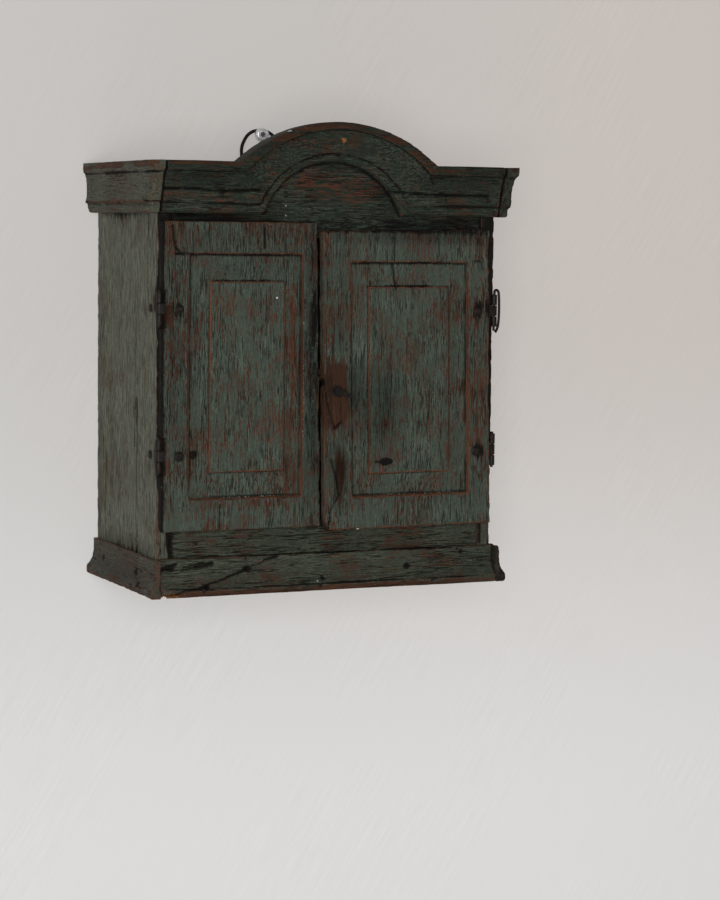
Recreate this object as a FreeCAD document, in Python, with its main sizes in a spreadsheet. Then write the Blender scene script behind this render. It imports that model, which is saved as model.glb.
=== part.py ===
import FreeCAD, Part
import math
import os
from types import SimpleNamespace

import Sketcher
from FreeCAD import Rotation, Vector

# Hanging wall cupboard: two doors, arched cornice, flared base, cord loop over a wall screw.
# Pieces are laid out from the middle of the case (x), the wall (y = 0, front towards -y)
# and the underside of the base (z), then shifted so that the wall screw is the origin.

DRIVING_SIZES = {
    # case
    "case_width": 300.0,
    "case_depth": 153.0,
    "side_thickness": 11.5,
    "side_bottom": 4.0,
    "side_top": 340.0,
    "board_thickness": 10.0,
    "back_thickness": 8.0,
    "plank_gap": 0.5,
    "floor_height": 30.0,
    "ceiling_drop": 14.0,
    "shelf_height": 172.0,
    "shelf_setback": 7.0,
    "cleat_width": 10.0,
    "cleat_height": 12.0,
    "rail_bottom": 4.0,
    "rail_top": 60.0,
    "frieze_overlap": 19.0,
    "frieze_arch_half": 76.0,
    "frieze_arch_rise": 30.0,
    # cornice
    "cornice_rise": 9.5,
    "cornice_height": 41.5,
    "bead_height": 8.0,
    "bead_depth": 8.0,
    "bead_round": 2.5,
    "cove_low_depth": 9.5,
    "cove_hollow": 2.4,
    "cove_high_depth": 18.0,
    "fillet_height": 8.0,
    "fillet_depth": 21.0,
    "return_depth": 13.0,
    "return_cove_depth": 11.5,
    "return_hollow": 1.6,
    "return_bead_depth": 8.8,
    "arch_low_half": 60.5,
    "arch_low_rise": 43.5,
    "arch_high_half": 86.5,
    "arch_high_rise": 33.5,
    # base
    "base_height": 31.0,
    "base_lip": 5.0,
    "base_lip_depth": 5.0,
    "base_depth": 13.5,
    "base_side_lip": 3.6,
    "base_side_depth": 9.6,
    "base_foot": 6.5,
    "base_hollow": 2.4,
    # doors
    "door_thickness": 8.5,
    "door_gap": 1.0,
    "left_bottom": 53.0,
    "left_head_gap": 6.2,
    "meet_top": 15.0,
    "meet_bottom": 10.5,
    "meet_gap": 1.0,
    "right_bottom": 50.0,
    "right_free_head_gap": 13.0,
    "right_hinge_head_gap": 10.0,
    "right_top_inset": 10.5,
    "right_bottom_inset": 4.5,
    "ajar_angle": 2.4,
    # sunk panels
    "sink_depth": 3.2,
    "field_step": 1.2,
    "left_hinge_stile": 24.0,
    "left_meet_stile": 13.0,
    "left_foot_rail": 26.0,
    "left_head_rail": 25.8,
    "left_field_left": 17.5,
    "left_field_right": 16.3,
    "left_field_foot": 21.5,
    "left_field_head": 22.5,
    "right_hinge_stile": 26.0,
    "right_meet_stile": 25.5,
    "right_foot_rail": 27.0,
    "right_head_rail": 25.0,
    "right_field_left": 15.7,
    "right_field_right": 19.3,
    "right_field_foot": 19.0,
    "right_field_head": 20.5,
    "right_panel_lean": 3.6,
    # hinges
    "hinge_inset": 0.5,
    "barrel_radius": 2.6,
    "barrel_height": 27.0,
    "knuckle_gap": 0.3,
    "barrel_clearance": 0.3,
    "pin_radius": 1.3,
    "pin_play": 0.05,
    "pin_stick_out": 1.6,
    "leaf_thickness": 1.2,
    "leaf_play": 0.1,
    "leaf_in_side": 20.0,
    "leaf_in_door": 25.0,
    "notch_depth": 4.6,
    "left_upper_hinge": 232.0,
    "left_lower_hinge": 114.0,
    "right_upper_hinge": 229.5,
    "right_lower_hinge": 112.0,
    "wire_reach": 4.8,
    # nails
    "hinge_nail_head": 4.4,
    "hinge_nail_dome": 1.7,
    "hinge_nail_shank": 1.3,
    "side_nail_setback": 15.5,
    "left_nail_reach": 15.0,
    "right_nail_reach": 19.5,
    "small_nail_head": 2.4,
    "small_nail_dome": 0.9,
    "small_nail_shank": 1.0,
    "small_nail_length": 14.4,
    "back_nail_length": 24.0,
    "cleat_nail_length": 16.0,
    "nail_sink": 0.6,
    # latch
    "latch_x": -1.0,
    "latch_height": 165.0,
    "spindle_radius": 2.0,
    "spindle_play": 0.08,
    "washer_radius": 4.6,
    "washer_thickness": 0.8,
    "lever_length": 14.5,
    "lever_root": 5.2,
    "lever_tip": 2.6,
    "lever_thickness": 2.2,
    "lever_droop": 21.0,
    "arm_length": 16.5,
    "arm_width": 6.0,
    "arm_thickness": 2.0,
    "arm_setback": 2.3,
    "rivet_stand": 1.8,
    "keeper_radius": 0.8,
    "keeper_reach": 6.9,
    "keeper_left": 10.0,
    "keeper_length": 15.0,
    "keeper_bend": 2.4,
    "keeper_depth": 9.0,
    # hanging
    "hang_rise": 37.4,
    "hang_offset": 3.8,
    "screw_neck_radius": 2.1,
    "screw_thread_radius": 3.0,
    "screw_thread_length": 28.0,
    "screw_tip_length": 6.0,
    "screw_stand_off": 8.0,
    "screw_seat": 1.0,
    "screw_head_radius": 6.1,
    "screw_head_height": 4.0,
    "screw_recess_radius": 2.8,
    "screw_recess_depth": 2.2,
    "cord_radius": 1.45,
    "cord_play": 0.8,
    "cord_leg": 19.5,
    "cord_back": 14.0,
    "cord_on_screw": 4.6,
    "cord_rest": 0.3,
    "knot_radius": 4.2,
    "knot_height": 7.0,
}

doc = FreeCAD.newDocument("wall_cupboard")
sheet = doc.addObject("Spreadsheet::Sheet", "Sizes")


class Size:
    # A number together with the sheet expression that gives it.
    def __init__(self, text, value):
        self.text = text
        self.value = value

    def __add__(self, other):
        return Size(f"({self.text} + {text_of(other)})", self.value + value_of(other))

    def __sub__(self, other):
        return Size(f"({self.text} - {text_of(other)})", self.value - value_of(other))

    def __mul__(self, other):
        return Size(f"({self.text} * {text_of(other)})", self.value * value_of(other))

    def __truediv__(self, other):
        return Size(f"({self.text} / {text_of(other)})", self.value / value_of(other))

    def __radd__(self, other):
        return as_size(other) + self

    def __rsub__(self, other):
        return as_size(other) - self

    def __rmul__(self, other):
        return as_size(other) * self

    def __neg__(self):
        return Size(f"(0 - {self.text})", -self.value)


def as_size(number):
    return number if isinstance(number, Size) else Size(repr(float(number)), float(number))


def text_of(number):
    return as_size(number).text


def value_of(number):
    return as_size(number).value


def cosine(angle):
    return Size(f"cos({angle.text} * 1 deg)", math.cos(math.radians(angle.value)))


def sine(angle):
    return Size(f"sin({angle.text} * 1 deg)", math.sin(math.radians(angle.value)))


def fill_sheet():
    sizes = {}
    for row, (name, number) in enumerate(DRIVING_SIZES.items(), start=1):
        sheet.set(f"A{row}", name)
        sheet.set(f"B{row}", str(number))
        sheet.setAlias(f"B{row}", name)
        sizes[name] = Size(f"Sizes.{name}", number)
    doc.recompute()
    return SimpleNamespace(**sizes)


S = fill_sheet()
finished = []


def bind(obj, prop, number):
    size = as_size(number)
    obj.setExpression(prop, size.text)


def place(obj, x, y, z):
    bind(obj, "Placement.Base.x", x + S.hang_offset)
    bind(obj, "Placement.Base.y", y)
    bind(obj, "Placement.Base.z", z - HANG_HEIGHT)
    return obj


def finish(obj, label):
    obj.Label = label
    finished.append(obj)
    return obj


# Frame of the case
HALF = S.case_width / 2
INNER = HALF - S.side_thickness
FRONT = -S.case_depth
BOARD_FRONT = FRONT + S.board_thickness
BACK_FRONT = -S.back_thickness
DOOR_BACK = FRONT - S.door_gap
DOOR_FRONT = DOOR_BACK - S.door_thickness
HINGE_X = HALF - S.hinge_inset
HINGE_Y = FRONT - S.barrel_radius - S.barrel_clearance
HANG_HEIGHT = S.side_top + S.hang_rise
CEILING = S.side_top - S.ceiling_drop
CORNICE_TOP = S.side_top + S.cornice_rise
CORNICE_FOOT = CORNICE_TOP - S.cornice_height
LEFT_TOP = CORNICE_FOOT - S.left_head_gap
RIGHT_TOP_FREE = CORNICE_FOOT - S.right_free_head_gap
RIGHT_TOP_HINGE = CORNICE_FOOT - S.right_hinge_head_gap


# Solids from primitives
def box(name, low, size):
    obj = doc.addObject("Part::Box", name)
    for prop, number in zip(("Length", "Width", "Height"), size):
        bind(obj, prop, number)
    return place(obj, *low)


TURNS = {
    "+z": Rotation(),
    "+y": Rotation(Vector(1, 0, 0), -90),
    "-y": Rotation(Vector(1, 0, 0), 90),
    "+x": Rotation(Vector(0, 1, 0), 90),
    "-x": Rotation(Vector(0, 1, 0), -90),
}


def rod(name, start, direction, radius, length):
    obj = doc.addObject("Part::Cylinder", name)
    bind(obj, "Radius", radius)
    bind(obj, "Height", length)
    obj.Placement = FreeCAD.Placement(Vector(), TURNS[direction])
    return place(obj, *start)


def cone(name, start, direction, radius, tip_radius, length):
    obj = doc.addObject("Part::Cone", name)
    bind(obj, "Radius1", radius)
    bind(obj, "Radius2", tip_radius)
    bind(obj, "Height", length)
    obj.Placement = FreeCAD.Placement(Vector(), TURNS[direction])
    return place(obj, *start)


def fuse(name, pieces):
    obj = doc.addObject("Part::MultiFuse", name)
    obj.Shapes = pieces
    return obj


def cut(name, base, tools):
    obj = doc.addObject("Part::Cut", name)
    obj.Base = base
    obj.Tool = tools[0] if len(tools) == 1 else fuse(name + "_tools", tools)
    return obj


def group(name, pieces):
    obj = doc.addObject("Part::Compound", name)
    obj.Links = pieces
    return obj


# Bodies from sketches
def new_body(name, x=Size("0", 0.0), y=Size("0", 0.0), z=Size("0", 0.0)):
    return place(doc.addObject("PartDesign::Body", name), x, y, z)


def sketch_on(body, role, offset=0.0):
    plane = next(item for item in body.Origin.OriginFeatures if item.Role == role)
    sketch = body.newObject("Sketcher::SketchObject", body.Name + "_sketch")
    sketch.AttachmentSupport = [(plane, "")]
    sketch.MapMode = "FlatFace"
    if value_of(offset) != 0.0:
        bind(sketch, "AttachmentOffset.Base.z", offset)
    return sketch


def hold(sketch, kind, first, second, number):
    size = as_size(number)
    index = sketch.addConstraint(Sketcher.Constraint(kind, *first, *second, size.value))
    sketch.setExpression(f"Constraints[{index}]", size.text)


def hold_point(sketch, edge, end, point):
    for kind, axis, number in zip(("DistanceX", "DistanceY"), (-2, -1), point):
        if value_of(number) == 0.0:
            sketch.addConstraint(Sketcher.Constraint("PointOnObject", edge, end, axis))
        else:
            hold(sketch, kind, (-1, 1), (edge, end), number)


def arc_radius(p, q, sagitta):
    across = q[0] - p[0]
    along = q[1] - p[1]
    return (across * across + along * along) / (sagitta * 8) + sagitta / 2


def arc_edge(p, q, sagitta, left):
    # An arc from p to q that bulges to the left or right of the way; sketch arcs run anticlockwise.
    a = Vector(value_of(p[0]), value_of(p[1]), 0)
    b = Vector(value_of(q[0]), value_of(q[1]), 0)
    way = b - a
    side = Vector(-way.y, way.x, 0).normalize()
    radius = value_of(arc_radius(p, q, sagitta))
    towards = -1.0 if left else 1.0
    centre = (a + b) * 0.5 + side * (towards * (radius - value_of(sagitta)))
    start, end = (b, a) if left else (a, b)
    first = math.atan2(start.y - centre.y, start.x - centre.x)
    last = math.atan2(end.y - centre.y, end.x - centre.x)
    if last < first:
        last += 2 * math.pi
    return Part.ArcOfCircle(Part.Circle(centre, Vector(0, 0, 1), radius), first, last)


def outline(sketch, points, arcs=None):
    # A closed outline; arcs maps the number of an edge to its sagitta and the side it bulges to.
    arcs = arcs or {}
    points = [(as_size(x), as_size(y)) for x, y in points]
    count = len(points)
    starts, ends = [], []
    for number, p in enumerate(points):
        q = points[(number + 1) % count]
        if number in arcs:
            sagitta, left = as_size(arcs[number][0]), arcs[number][1]
            edge = sketch.addGeometry(arc_edge(p, q, sagitta, left))
            starts.append((edge, 2 if left else 1))
            ends.append((edge, 1 if left else 2))
        else:
            line = Part.LineSegment(Vector(p[0].value, p[1].value, 0), Vector(q[0].value, q[1].value, 0))
            edge = sketch.addGeometry(line)
            starts.append((edge, 1))
            ends.append((edge, 2))
    for number, p in enumerate(points):
        following = starts[(number + 1) % count]
        sketch.addConstraint(Sketcher.Constraint("Coincident", *ends[number], *following))
        hold_point(sketch, *starts[number], p)
        if number in arcs:
            q = points[(number + 1) % count]
            radius = arc_radius(p, q, as_size(arcs[number][0]))
            hold(sketch, "Radius", (starts[number][0],), (), radius)
    return sketch


def pad(body, sketch, length):
    obj = body.newObject("PartDesign::Pad", body.Name + "_pad")
    obj.Profile = sketch
    bind(obj, "Length", length)
    return obj


def pocket(body, sketch, depth):
    obj = body.newObject("PartDesign::Pocket", body.Name + "_pocket")
    obj.Profile = sketch
    bind(obj, "Length", depth)
    return obj


def loft(body, sketches):
    obj = body.newObject("PartDesign::AdditiveLoft", body.Name + "_loft")
    obj.Profile = sketches[0]
    obj.Sections = sketches[1:]
    obj.Ruled = True
    return obj


# Case boards
def make_case():
    floor_front = BOARD_FRONT
    inner_depth = BACK_FRONT - BOARD_FRONT
    inner_width = INNER * 2
    for label, x in (("side_left", -HALF), ("side_right", INNER)):
        board = box(label + "_board", (x, FRONT, S.side_bottom),
                    (S.side_thickness, S.case_depth, S.side_top - S.side_bottom))
        slots = side_slots(label, -1 if label == "side_left" else 1)
        finish(cut(label, board, slots), label)

    ceiling = box("top_board_blank", (-INNER, floor_front, CEILING),
                  (inner_width, inner_depth, S.board_thickness))
    holes = [rod(f"cord_hole_{name}", (x, -S.cord_back, CEILING), "+z",
                 S.cord_radius + S.cord_play, S.board_thickness)
             for name, x in cord_legs()]
    finish(cut("top_board", ceiling, holes), "top_board")
    finish(box("bottom_board", (-INNER, floor_front, S.floor_height),
               (inner_width, inner_depth, S.board_thickness)), "bottom_board")

    shelf_front = FRONT + S.shelf_setback
    finish(box("shelf", (-INNER, shelf_front, S.shelf_height),
               (inner_width, BACK_FRONT - shelf_front, S.board_thickness)), "shelf")
    for label, x in (("shelf_cleat_left", -INNER), ("shelf_cleat_right", INNER - S.cleat_width)):
        cleat_front = shelf_front + S.shelf_setback
        finish(box(label, (x, cleat_front, S.shelf_height - S.cleat_height),
                   (S.cleat_width, BACK_FRONT - cleat_front, S.cleat_height)), label)

    finish(box("lower_rail", (-INNER, FRONT, S.rail_bottom),
               (inner_width, S.board_thickness, S.rail_top - S.rail_bottom)), "lower_rail")

    plank = (inner_width - S.plank_gap * 2) / 3
    for number, label in enumerate(("back_plank_left", "back_plank_middle", "back_plank_right")):
        finish(box(label, (-INNER + (plank + S.plank_gap) * number, BACK_FRONT, S.side_bottom),
                   (plank, S.back_thickness, S.side_top - S.side_bottom)), label)


def make_frieze():
    body = new_body("frieze_board", y=BOARD_FRONT)
    top = S.side_top
    foot = CORNICE_FOOT - S.frieze_overlap
    points = [(-INNER, foot), (INNER, foot), (INNER, top),
              (S.frieze_arch_half, top), (-S.frieze_arch_half, top), (-INNER, top)]
    sketch = outline(sketch_on(body, "XZ_Plane"), points, {3: (S.frieze_arch_rise, False)})
    pad(body, sketch, S.board_thickness)
    finish(body, "frieze_board")


# Cornice: the front board lofted through outlines that step forward, and two straight returns
def cornice_outline(body, depth, height):
    # height is measured from the foot of the cornice; the arch opens out as it rises
    share = height / S.cornice_height
    low = CORNICE_FOOT + height
    half = S.arch_low_half + (S.arch_high_half - S.arch_low_half) * share
    rise = S.arch_low_rise + (S.arch_high_rise - S.arch_low_rise) * share
    top = CORNICE_TOP
    points = [(-HALF, low), (-half, low), (half, low), (HALF, low), (HALF, top),
              (S.arch_high_half, top), (-S.arch_high_half, top), (-HALF, top)]
    arcs = {1: (rise, True), 5: (S.arch_high_rise, False)}
    return outline(sketch_on(body, "XZ_Plane", depth), points, arcs)


def make_cornice():
    fillet_foot = S.cornice_height - S.fillet_height
    cove_height = fillet_foot - S.bead_height
    cove_depth = S.cove_high_depth - S.cove_low_depth
    face_slope = 0.4
    body = new_body("cornice_front", y=FRONT)
    steps = [(Size("0", 0.0), Size("0", 0.0)),
             (S.bead_depth - S.bead_round, Size("0", 0.0)),
             (S.bead_depth, S.bead_round),
             (S.bead_depth + face_slope, S.bead_height - face_slope),
             (S.cove_low_depth, S.bead_height)]
    for share in (0.35, 0.7):
        hollow = S.cove_hollow * (4 * share * (1 - share))
        steps.append((S.cove_low_depth + cove_depth * share - hollow * 0.5,
                      S.bead_height + cove_height * share + hollow))
    steps += [(S.cove_high_depth, fillet_foot),
              (S.fillet_depth, fillet_foot + face_slope)]
    loft(body, [cornice_outline(body, depth, height) for depth, height in steps])
    finish(body, "cornice_front")

    length = S.case_depth + S.fillet_depth
    low = CORNICE_FOOT
    bead_top = low + S.bead_height
    foot = CORNICE_TOP - S.fillet_height
    for label, sign in (("cornice_left", -1), ("cornice_right", 1)):
        body = new_body(label, x=HALF * sign)
        points = [(0, low), (S.return_bead_depth - S.bead_round, low),
                  (S.return_bead_depth, low + S.bead_round), (S.return_bead_depth, bead_top),
                  (S.return_cove_depth, bead_top), (S.return_cove_depth, foot),
                  (S.return_depth, foot), (S.return_depth, CORNICE_TOP), (0, CORNICE_TOP)]
        points = [(x * sign if isinstance(x, Size) else x, z) for x, z in points]
        arcs = {1: (S.bead_round * 0.3, sign < 0), 4: (S.return_hollow, sign > 0)}
        pad(body, outline(sketch_on(body, "XZ_Plane"), points, arcs), length)
        ahead = FRONT - S.fillet_depth - S.bead_round
        under = low - S.bead_round
        # The front end steps back below the fillet in line with the front moulding
        points = [(ahead, under), (FRONT - S.bead_depth, under), (FRONT - S.bead_depth, bead_top),
                  (FRONT - S.cove_low_depth, bead_top), (FRONT - S.cove_high_depth, foot), (ahead, foot)]
        end = pocket(body, outline(sketch_on(body, "YZ_Plane"), points), S.return_depth)
        end.Reversed = sign > 0
        finish(body, label)


# Base: lip, concave flare and rounded foot, run along the front and covered by two returns
def base_points(lip_depth, depth, sign):
    lip_foot = S.base_height - S.base_lip
    round_in = S.base_foot * 0.35
    points = [(0, 0), (depth - round_in, 0), (depth, round_in), (depth, S.base_foot),
              (lip_depth, lip_foot), (lip_depth, S.base_height), (0, S.base_height)]
    points = [(x * sign if isinstance(x, Size) else x, z) for x, z in points]
    arcs = {1: (round_in * 0.28, sign < 0), 3: (S.base_hollow, sign > 0)}
    return points, arcs


def make_base():
    body = new_body("base_front", x=-HALF, y=FRONT)
    points, arcs = base_points(S.base_lip_depth, S.base_depth, -1)
    pad(body, outline(sketch_on(body, "YZ_Plane"), points, arcs), S.case_width)
    finish(body, "base_front")
    for label, sign in (("base_left", -1), ("base_right", 1)):
        body = new_body(label, x=HALF * sign)
        points, arcs = base_points(S.base_side_lip, S.base_side_depth, sign)
        pad(body, outline(sketch_on(body, "XZ_Plane"), points, arcs), S.case_depth + S.base_depth)
        finish(body, label)


# Doors: one board each, with a panel cut in the solid
def panel_outlines(side, low, high, lean):
    # The sunk rectangle between two corners and the raised field inside it; both lean with the door.
    margin = {name: getattr(S, f"{side}_field_{name}") for name in ("left", "right", "foot", "head")}
    sink_height = high[1] - low[1]
    field_height = sink_height - margin["foot"] - margin["head"]
    sink = leaning_box(low, high[0] - low[0], sink_height, lean)
    field = leaning_box((low[0] + margin["left"], low[1] + margin["foot"]),
                        high[0] - low[0] - margin["left"] - margin["right"],
                        field_height, lean * field_height / sink_height)
    return sink, field


def leaning_box(low, width, height, lean):
    x, z = low
    return [(x, z), (x + width, z), (x + width - lean, z + height), (x - lean, z + height)]


def make_door(name, points, sink, field):
    body = new_body(name, y=DOOR_BACK)
    pad(body, outline(sketch_on(body, "XZ_Plane"), points), S.door_thickness)
    floor = S.door_thickness - S.sink_depth
    field_foot = S.door_thickness - S.field_step
    pocket(body, outline(sketch_on(body, "XZ_Plane", S.door_thickness), sink), S.sink_depth)
    loft(body, [outline(sketch_on(body, "XZ_Plane", floor), sink),
                outline(sketch_on(body, "XZ_Plane", field_foot), field)])
    pad(body, outline(sketch_on(body, "XZ_Plane", field_foot), field), S.field_step)
    return body


def make_doors():
    half_gap = S.meet_gap / 2
    meet_slope = (S.meet_top - S.meet_bottom) / (RIGHT_TOP_FREE - S.right_bottom)
    meet_foot = S.meet_bottom + meet_slope * (S.left_bottom - S.right_bottom) + half_gap
    meet_head = S.meet_bottom + meet_slope * (LEFT_TOP - S.right_bottom) + half_gap
    points = [(-HINGE_X, S.left_bottom), (-meet_foot, S.left_bottom),
              (-meet_head, LEFT_TOP), (-HINGE_X, LEFT_TOP)]
    sink, field = panel_outlines("left", (S.left_hinge_stile - HALF, S.left_bottom + S.left_foot_rail),
                                 (-S.meet_top - S.left_meet_stile, LEFT_TOP - S.left_head_rail),
                                 Size("0", 0.0))
    blank = make_door("door_left_blank", points, sink, field)
    tools = door_slots(-1)
    notch_reach = S.pin_stick_out + S.barrel_clearance
    for z in (S.left_upper_hinge, S.left_lower_hinge):
        foot = z - S.barrel_height / 2 - notch_reach
        tools.append(box(f"notch_left_{z.text[6:]}", (-HINGE_X - S.barrel_radius * 2, DOOR_FRONT, foot),
                         (S.barrel_radius * 2 + S.notch_depth, S.door_thickness,
                          S.barrel_height + notch_reach * 2)))
    finish(cut("door_left", blank, tools), "door_left")

    points = [(half_gap - S.meet_bottom, S.right_bottom), (HALF - S.right_bottom_inset, S.right_bottom),
              (HALF - S.right_top_inset, RIGHT_TOP_HINGE), (half_gap - S.meet_top, RIGHT_TOP_FREE)]
    sink, field = panel_outlines("right", (S.right_meet_stile - S.meet_bottom,
                                           S.right_bottom + S.right_foot_rail),
                                 (HALF - S.right_hinge_stile, RIGHT_TOP_FREE - S.right_head_rail),
                                 S.right_panel_lean)
    blank = make_door("door_right_blank", points, sink, field)
    tools = door_slots(1)
    tools.append(rod("spindle_hole", (S.latch_x, DOOR_FRONT, S.latch_height), "+y",
                     S.spindle_radius + S.spindle_play, S.door_thickness))
    set_ajar(finish(cut("door_right", blank, tools), "door_right"))


def set_ajar(obj):
    # The right door stands a little open: its pieces are turned about the right hinge line.
    x = HINGE_X + S.hang_offset
    y = HINGE_Y
    turn_cos, turn_sin = cosine(S.ajar_angle), sine(S.ajar_angle)
    obj.Placement = FreeCAD.Placement(Vector(), Rotation(Vector(0, 0, 1), S.ajar_angle.value))
    obj.setExpression("Placement.Rotation.Angle", f"{S.ajar_angle.text} * 1 deg")
    bind(obj, "Placement.Base.x", x - (x * turn_cos - y * turn_sin))
    bind(obj, "Placement.Base.y", y - (x * turn_sin + y * turn_cos))
    return obj


# Hinges: rolled iron leaves let into saw cuts, three knuckles on a pin
KNUCKLE = (S.barrel_height - S.knuckle_gap * 2) / 3


def side_leaf_x(sign):
    # low x of the leaf in the side board, tangent to the inner side of the barrel
    inner = HINGE_X - S.barrel_radius
    return inner if sign > 0 else -inner - S.leaf_thickness


DOOR_LEAF_Y = HINGE_Y - S.barrel_radius


def side_slots(label, sign):
    slots = []
    for z in hinge_heights(sign):
        slots.append(box(f"{label}_slot_{z.text[6:]}",
                         (side_leaf_x(sign) - S.leaf_play, FRONT, z - S.barrel_height / 2 - S.leaf_play),
                         (S.leaf_thickness + S.leaf_play * 2, S.leaf_in_side + S.leaf_play,
                          S.barrel_height + S.leaf_play * 2)))
    return slots


def hinge_heights(sign):
    if sign < 0:
        return S.left_upper_hinge, S.left_lower_hinge
    return S.right_upper_hinge, S.right_lower_hinge


def door_slots(sign):
    slots = []
    length = S.leaf_in_door + S.leaf_play
    for z in hinge_heights(sign):
        x = -HINGE_X if sign < 0 else HINGE_X - length
        slots.append(box(f"door_slot_{z.text[6:]}",
                         (x, DOOR_LEAF_Y - S.leaf_play, z - S.barrel_height / 2 - S.leaf_play),
                         (length, S.leaf_thickness + S.leaf_play * 2, S.barrel_height + S.leaf_play * 2)))
    return slots


def knuckle(name, sign, low, height):
    return rod(name, (HINGE_X * sign, HINGE_Y, low), "+z", S.barrel_radius, height)


def make_hinge(name, sign, z, wire=False):
    low = z - S.barrel_height / 2
    high_knuckle = low + (KNUCKLE + S.knuckle_gap) * 2
    middle = low + KNUCKLE + S.knuckle_gap
    bore = S.pin_radius + S.pin_play
    leaf_x = side_leaf_x(sign)

    pieces = [box(name + "_side_plate", (leaf_x, FRONT, low),
                  (S.leaf_thickness, S.leaf_in_side, S.barrel_height))]
    for number, foot in enumerate((low, high_knuckle)):
        pieces.append(knuckle(f"{name}_eye_{number}", sign, foot, KNUCKLE))
        pieces.append(box(f"{name}_web_{number}", (leaf_x, HINGE_Y, foot),
                          (S.leaf_thickness, FRONT - HINGE_Y, KNUCKLE)))
    hole = rod(name + "_bore", (HINGE_X * sign, HINGE_Y, low), "+z", bore, S.barrel_height)
    label = f"hinge_leaf_side_{name}"
    finish(cut(label, fuse(label + "_iron", pieces), [hole]), label)

    plate_length = S.leaf_in_door - S.notch_depth
    plate_x = -HINGE_X + S.notch_depth if sign < 0 else HINGE_X - S.leaf_in_door
    web_x = -HINGE_X if sign < 0 else HINGE_X - S.notch_depth
    pieces = [box(name + "_door_plate", (plate_x, DOOR_LEAF_Y, low),
                  (plate_length, S.leaf_thickness, S.barrel_height)),
              knuckle(name + "_eye_middle", sign, middle, KNUCKLE),
              box(name + "_door_web", (web_x, DOOR_LEAF_Y, middle),
                  (S.notch_depth, S.leaf_thickness, KNUCKLE))]
    hole = rod(name + "_door_bore", (HINGE_X * sign, HINGE_Y, middle), "+z", bore, KNUCKLE)
    label = f"hinge_leaf_door_{name}"
    leaf = finish(cut(label, fuse(label + "_iron", pieces), [hole]), label)
    if sign > 0:
        set_ajar(leaf)

    if wire:
        finish(wire_pin(sign, low), f"hinge_wire_pin_{name}")
    else:
        pin = rod(f"hinge_pin_{name}", (HINGE_X * sign, HINGE_Y, low - S.pin_stick_out), "+z",
                  S.pin_radius, S.barrel_height + S.pin_stick_out * 2)
        finish(pin, f"hinge_pin_{name}")


def wire_pin(sign, low):
    # A bent wire stands in for the lost pin: up through the knuckles, over and down outside.
    body = new_body("wire_pin", x=HINGE_X * sign, y=HINGE_Y)
    bend = S.wire_reach / 2
    head = low + S.barrel_height + S.pin_stick_out
    foot = low - S.pin_stick_out
    path = sketch_on(body, "XZ_Plane")
    out = S.wire_reach * sign
    up = path.addGeometry(Part.LineSegment(Vector(0, foot.value, 0), Vector(0, head.value, 0)))
    top = path.addGeometry(Part.ArcOfCircle(
        Part.Circle(Vector(bend.value * sign, head.value, 0), Vector(0, 0, 1), bend.value), 0, math.pi))
    down = path.addGeometry(Part.LineSegment(Vector(out.value, head.value, 0),
                                             Vector(out.value, foot.value, 0)))
    near, far = (2, 1) if sign > 0 else (1, 2)
    path.addConstraint(Sketcher.Constraint("Coincident", up, 2, top, near))
    path.addConstraint(Sketcher.Constraint("Coincident", top, far, down, 1))
    hold_point(path, up, 1, (Size("0", 0.0), foot))
    hold_point(path, up, 2, (Size("0", 0.0), head))
    hold_point(path, down, 1, (out, head))
    hold_point(path, down, 2, (out, foot))
    hold(path, "DistanceY", (-1, 1), (top, 3), head)
    section = sketch_on(body, "XY_Plane", foot)
    ring = section.addGeometry(Part.Circle(Vector(), Vector(0, 0, 1), S.pin_radius.value))
    section.addConstraint(Sketcher.Constraint("Coincident", ring, 3, -1, 1))
    hold(section, "Radius", (ring,), (), S.pin_radius)
    pipe = body.newObject("PartDesign::AdditivePipe", "wire_pin_pipe")
    pipe.Profile = section
    pipe.Spine = (path, ["Edge1", "Edge2", "Edge3"])
    return body


# Nails: a low conical head and a plain shank, driven into the wood
NAIL_LOOKS = {
    "hinge": (S.hinge_nail_head, S.hinge_nail_dome, S.hinge_nail_shank),
    "small": (S.small_nail_head, S.small_nail_dome, S.small_nail_shank),
}
OPPOSITE = {"+y": "-y", "-y": "+y", "+x": "-x", "-x": "+x"}


def nail(name, kind, point, inward, length):
    head, dome, shank = NAIL_LOOKS[kind]
    crown = cone(name + "_head", point, OPPOSITE[inward], head, head * 0.5, dome)
    return fuse(name, [crown, rod(name + "_shank", point, inward, shank, length)])


def make_hinge_nails():
    side_nails = []
    for sign, side in ((-1, "left"), (1, "right")):
        inward = "+x" if sign < 0 else "-x"
        for z in hinge_heights(sign):
            point = (HALF * sign, FRONT + S.side_nail_setback, z)
            side_nails.append(nail(f"side_nail_{z.text[6:]}", "hinge", point, inward, S.side_thickness))
        reach = S.left_nail_reach if sign < 0 else S.right_nail_reach
        door_nails = []
        for z in hinge_heights(sign):
            point = ((HINGE_X - reach) * sign, DOOR_FRONT, z)
            door_nails.append(nail(f"door_nail_{z.text[6:]}", "hinge", point, "+y", S.door_thickness))
        nails = finish(group(f"hinge_nails_{side}_door", door_nails), f"hinge_nails_{side}_door")
        if sign > 0:
            set_ajar(nails)
    finish(group("hinge_nails_sides", side_nails), "hinge_nails_sides")


def nail_group(label, places, length):
    nails = []
    for number, (x, y, z, inward) in enumerate(places):
        nails.append(nail(f"{label}_{number}", "small", (x, y, z), inward, length))
    finish(group(label, nails), label)


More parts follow.
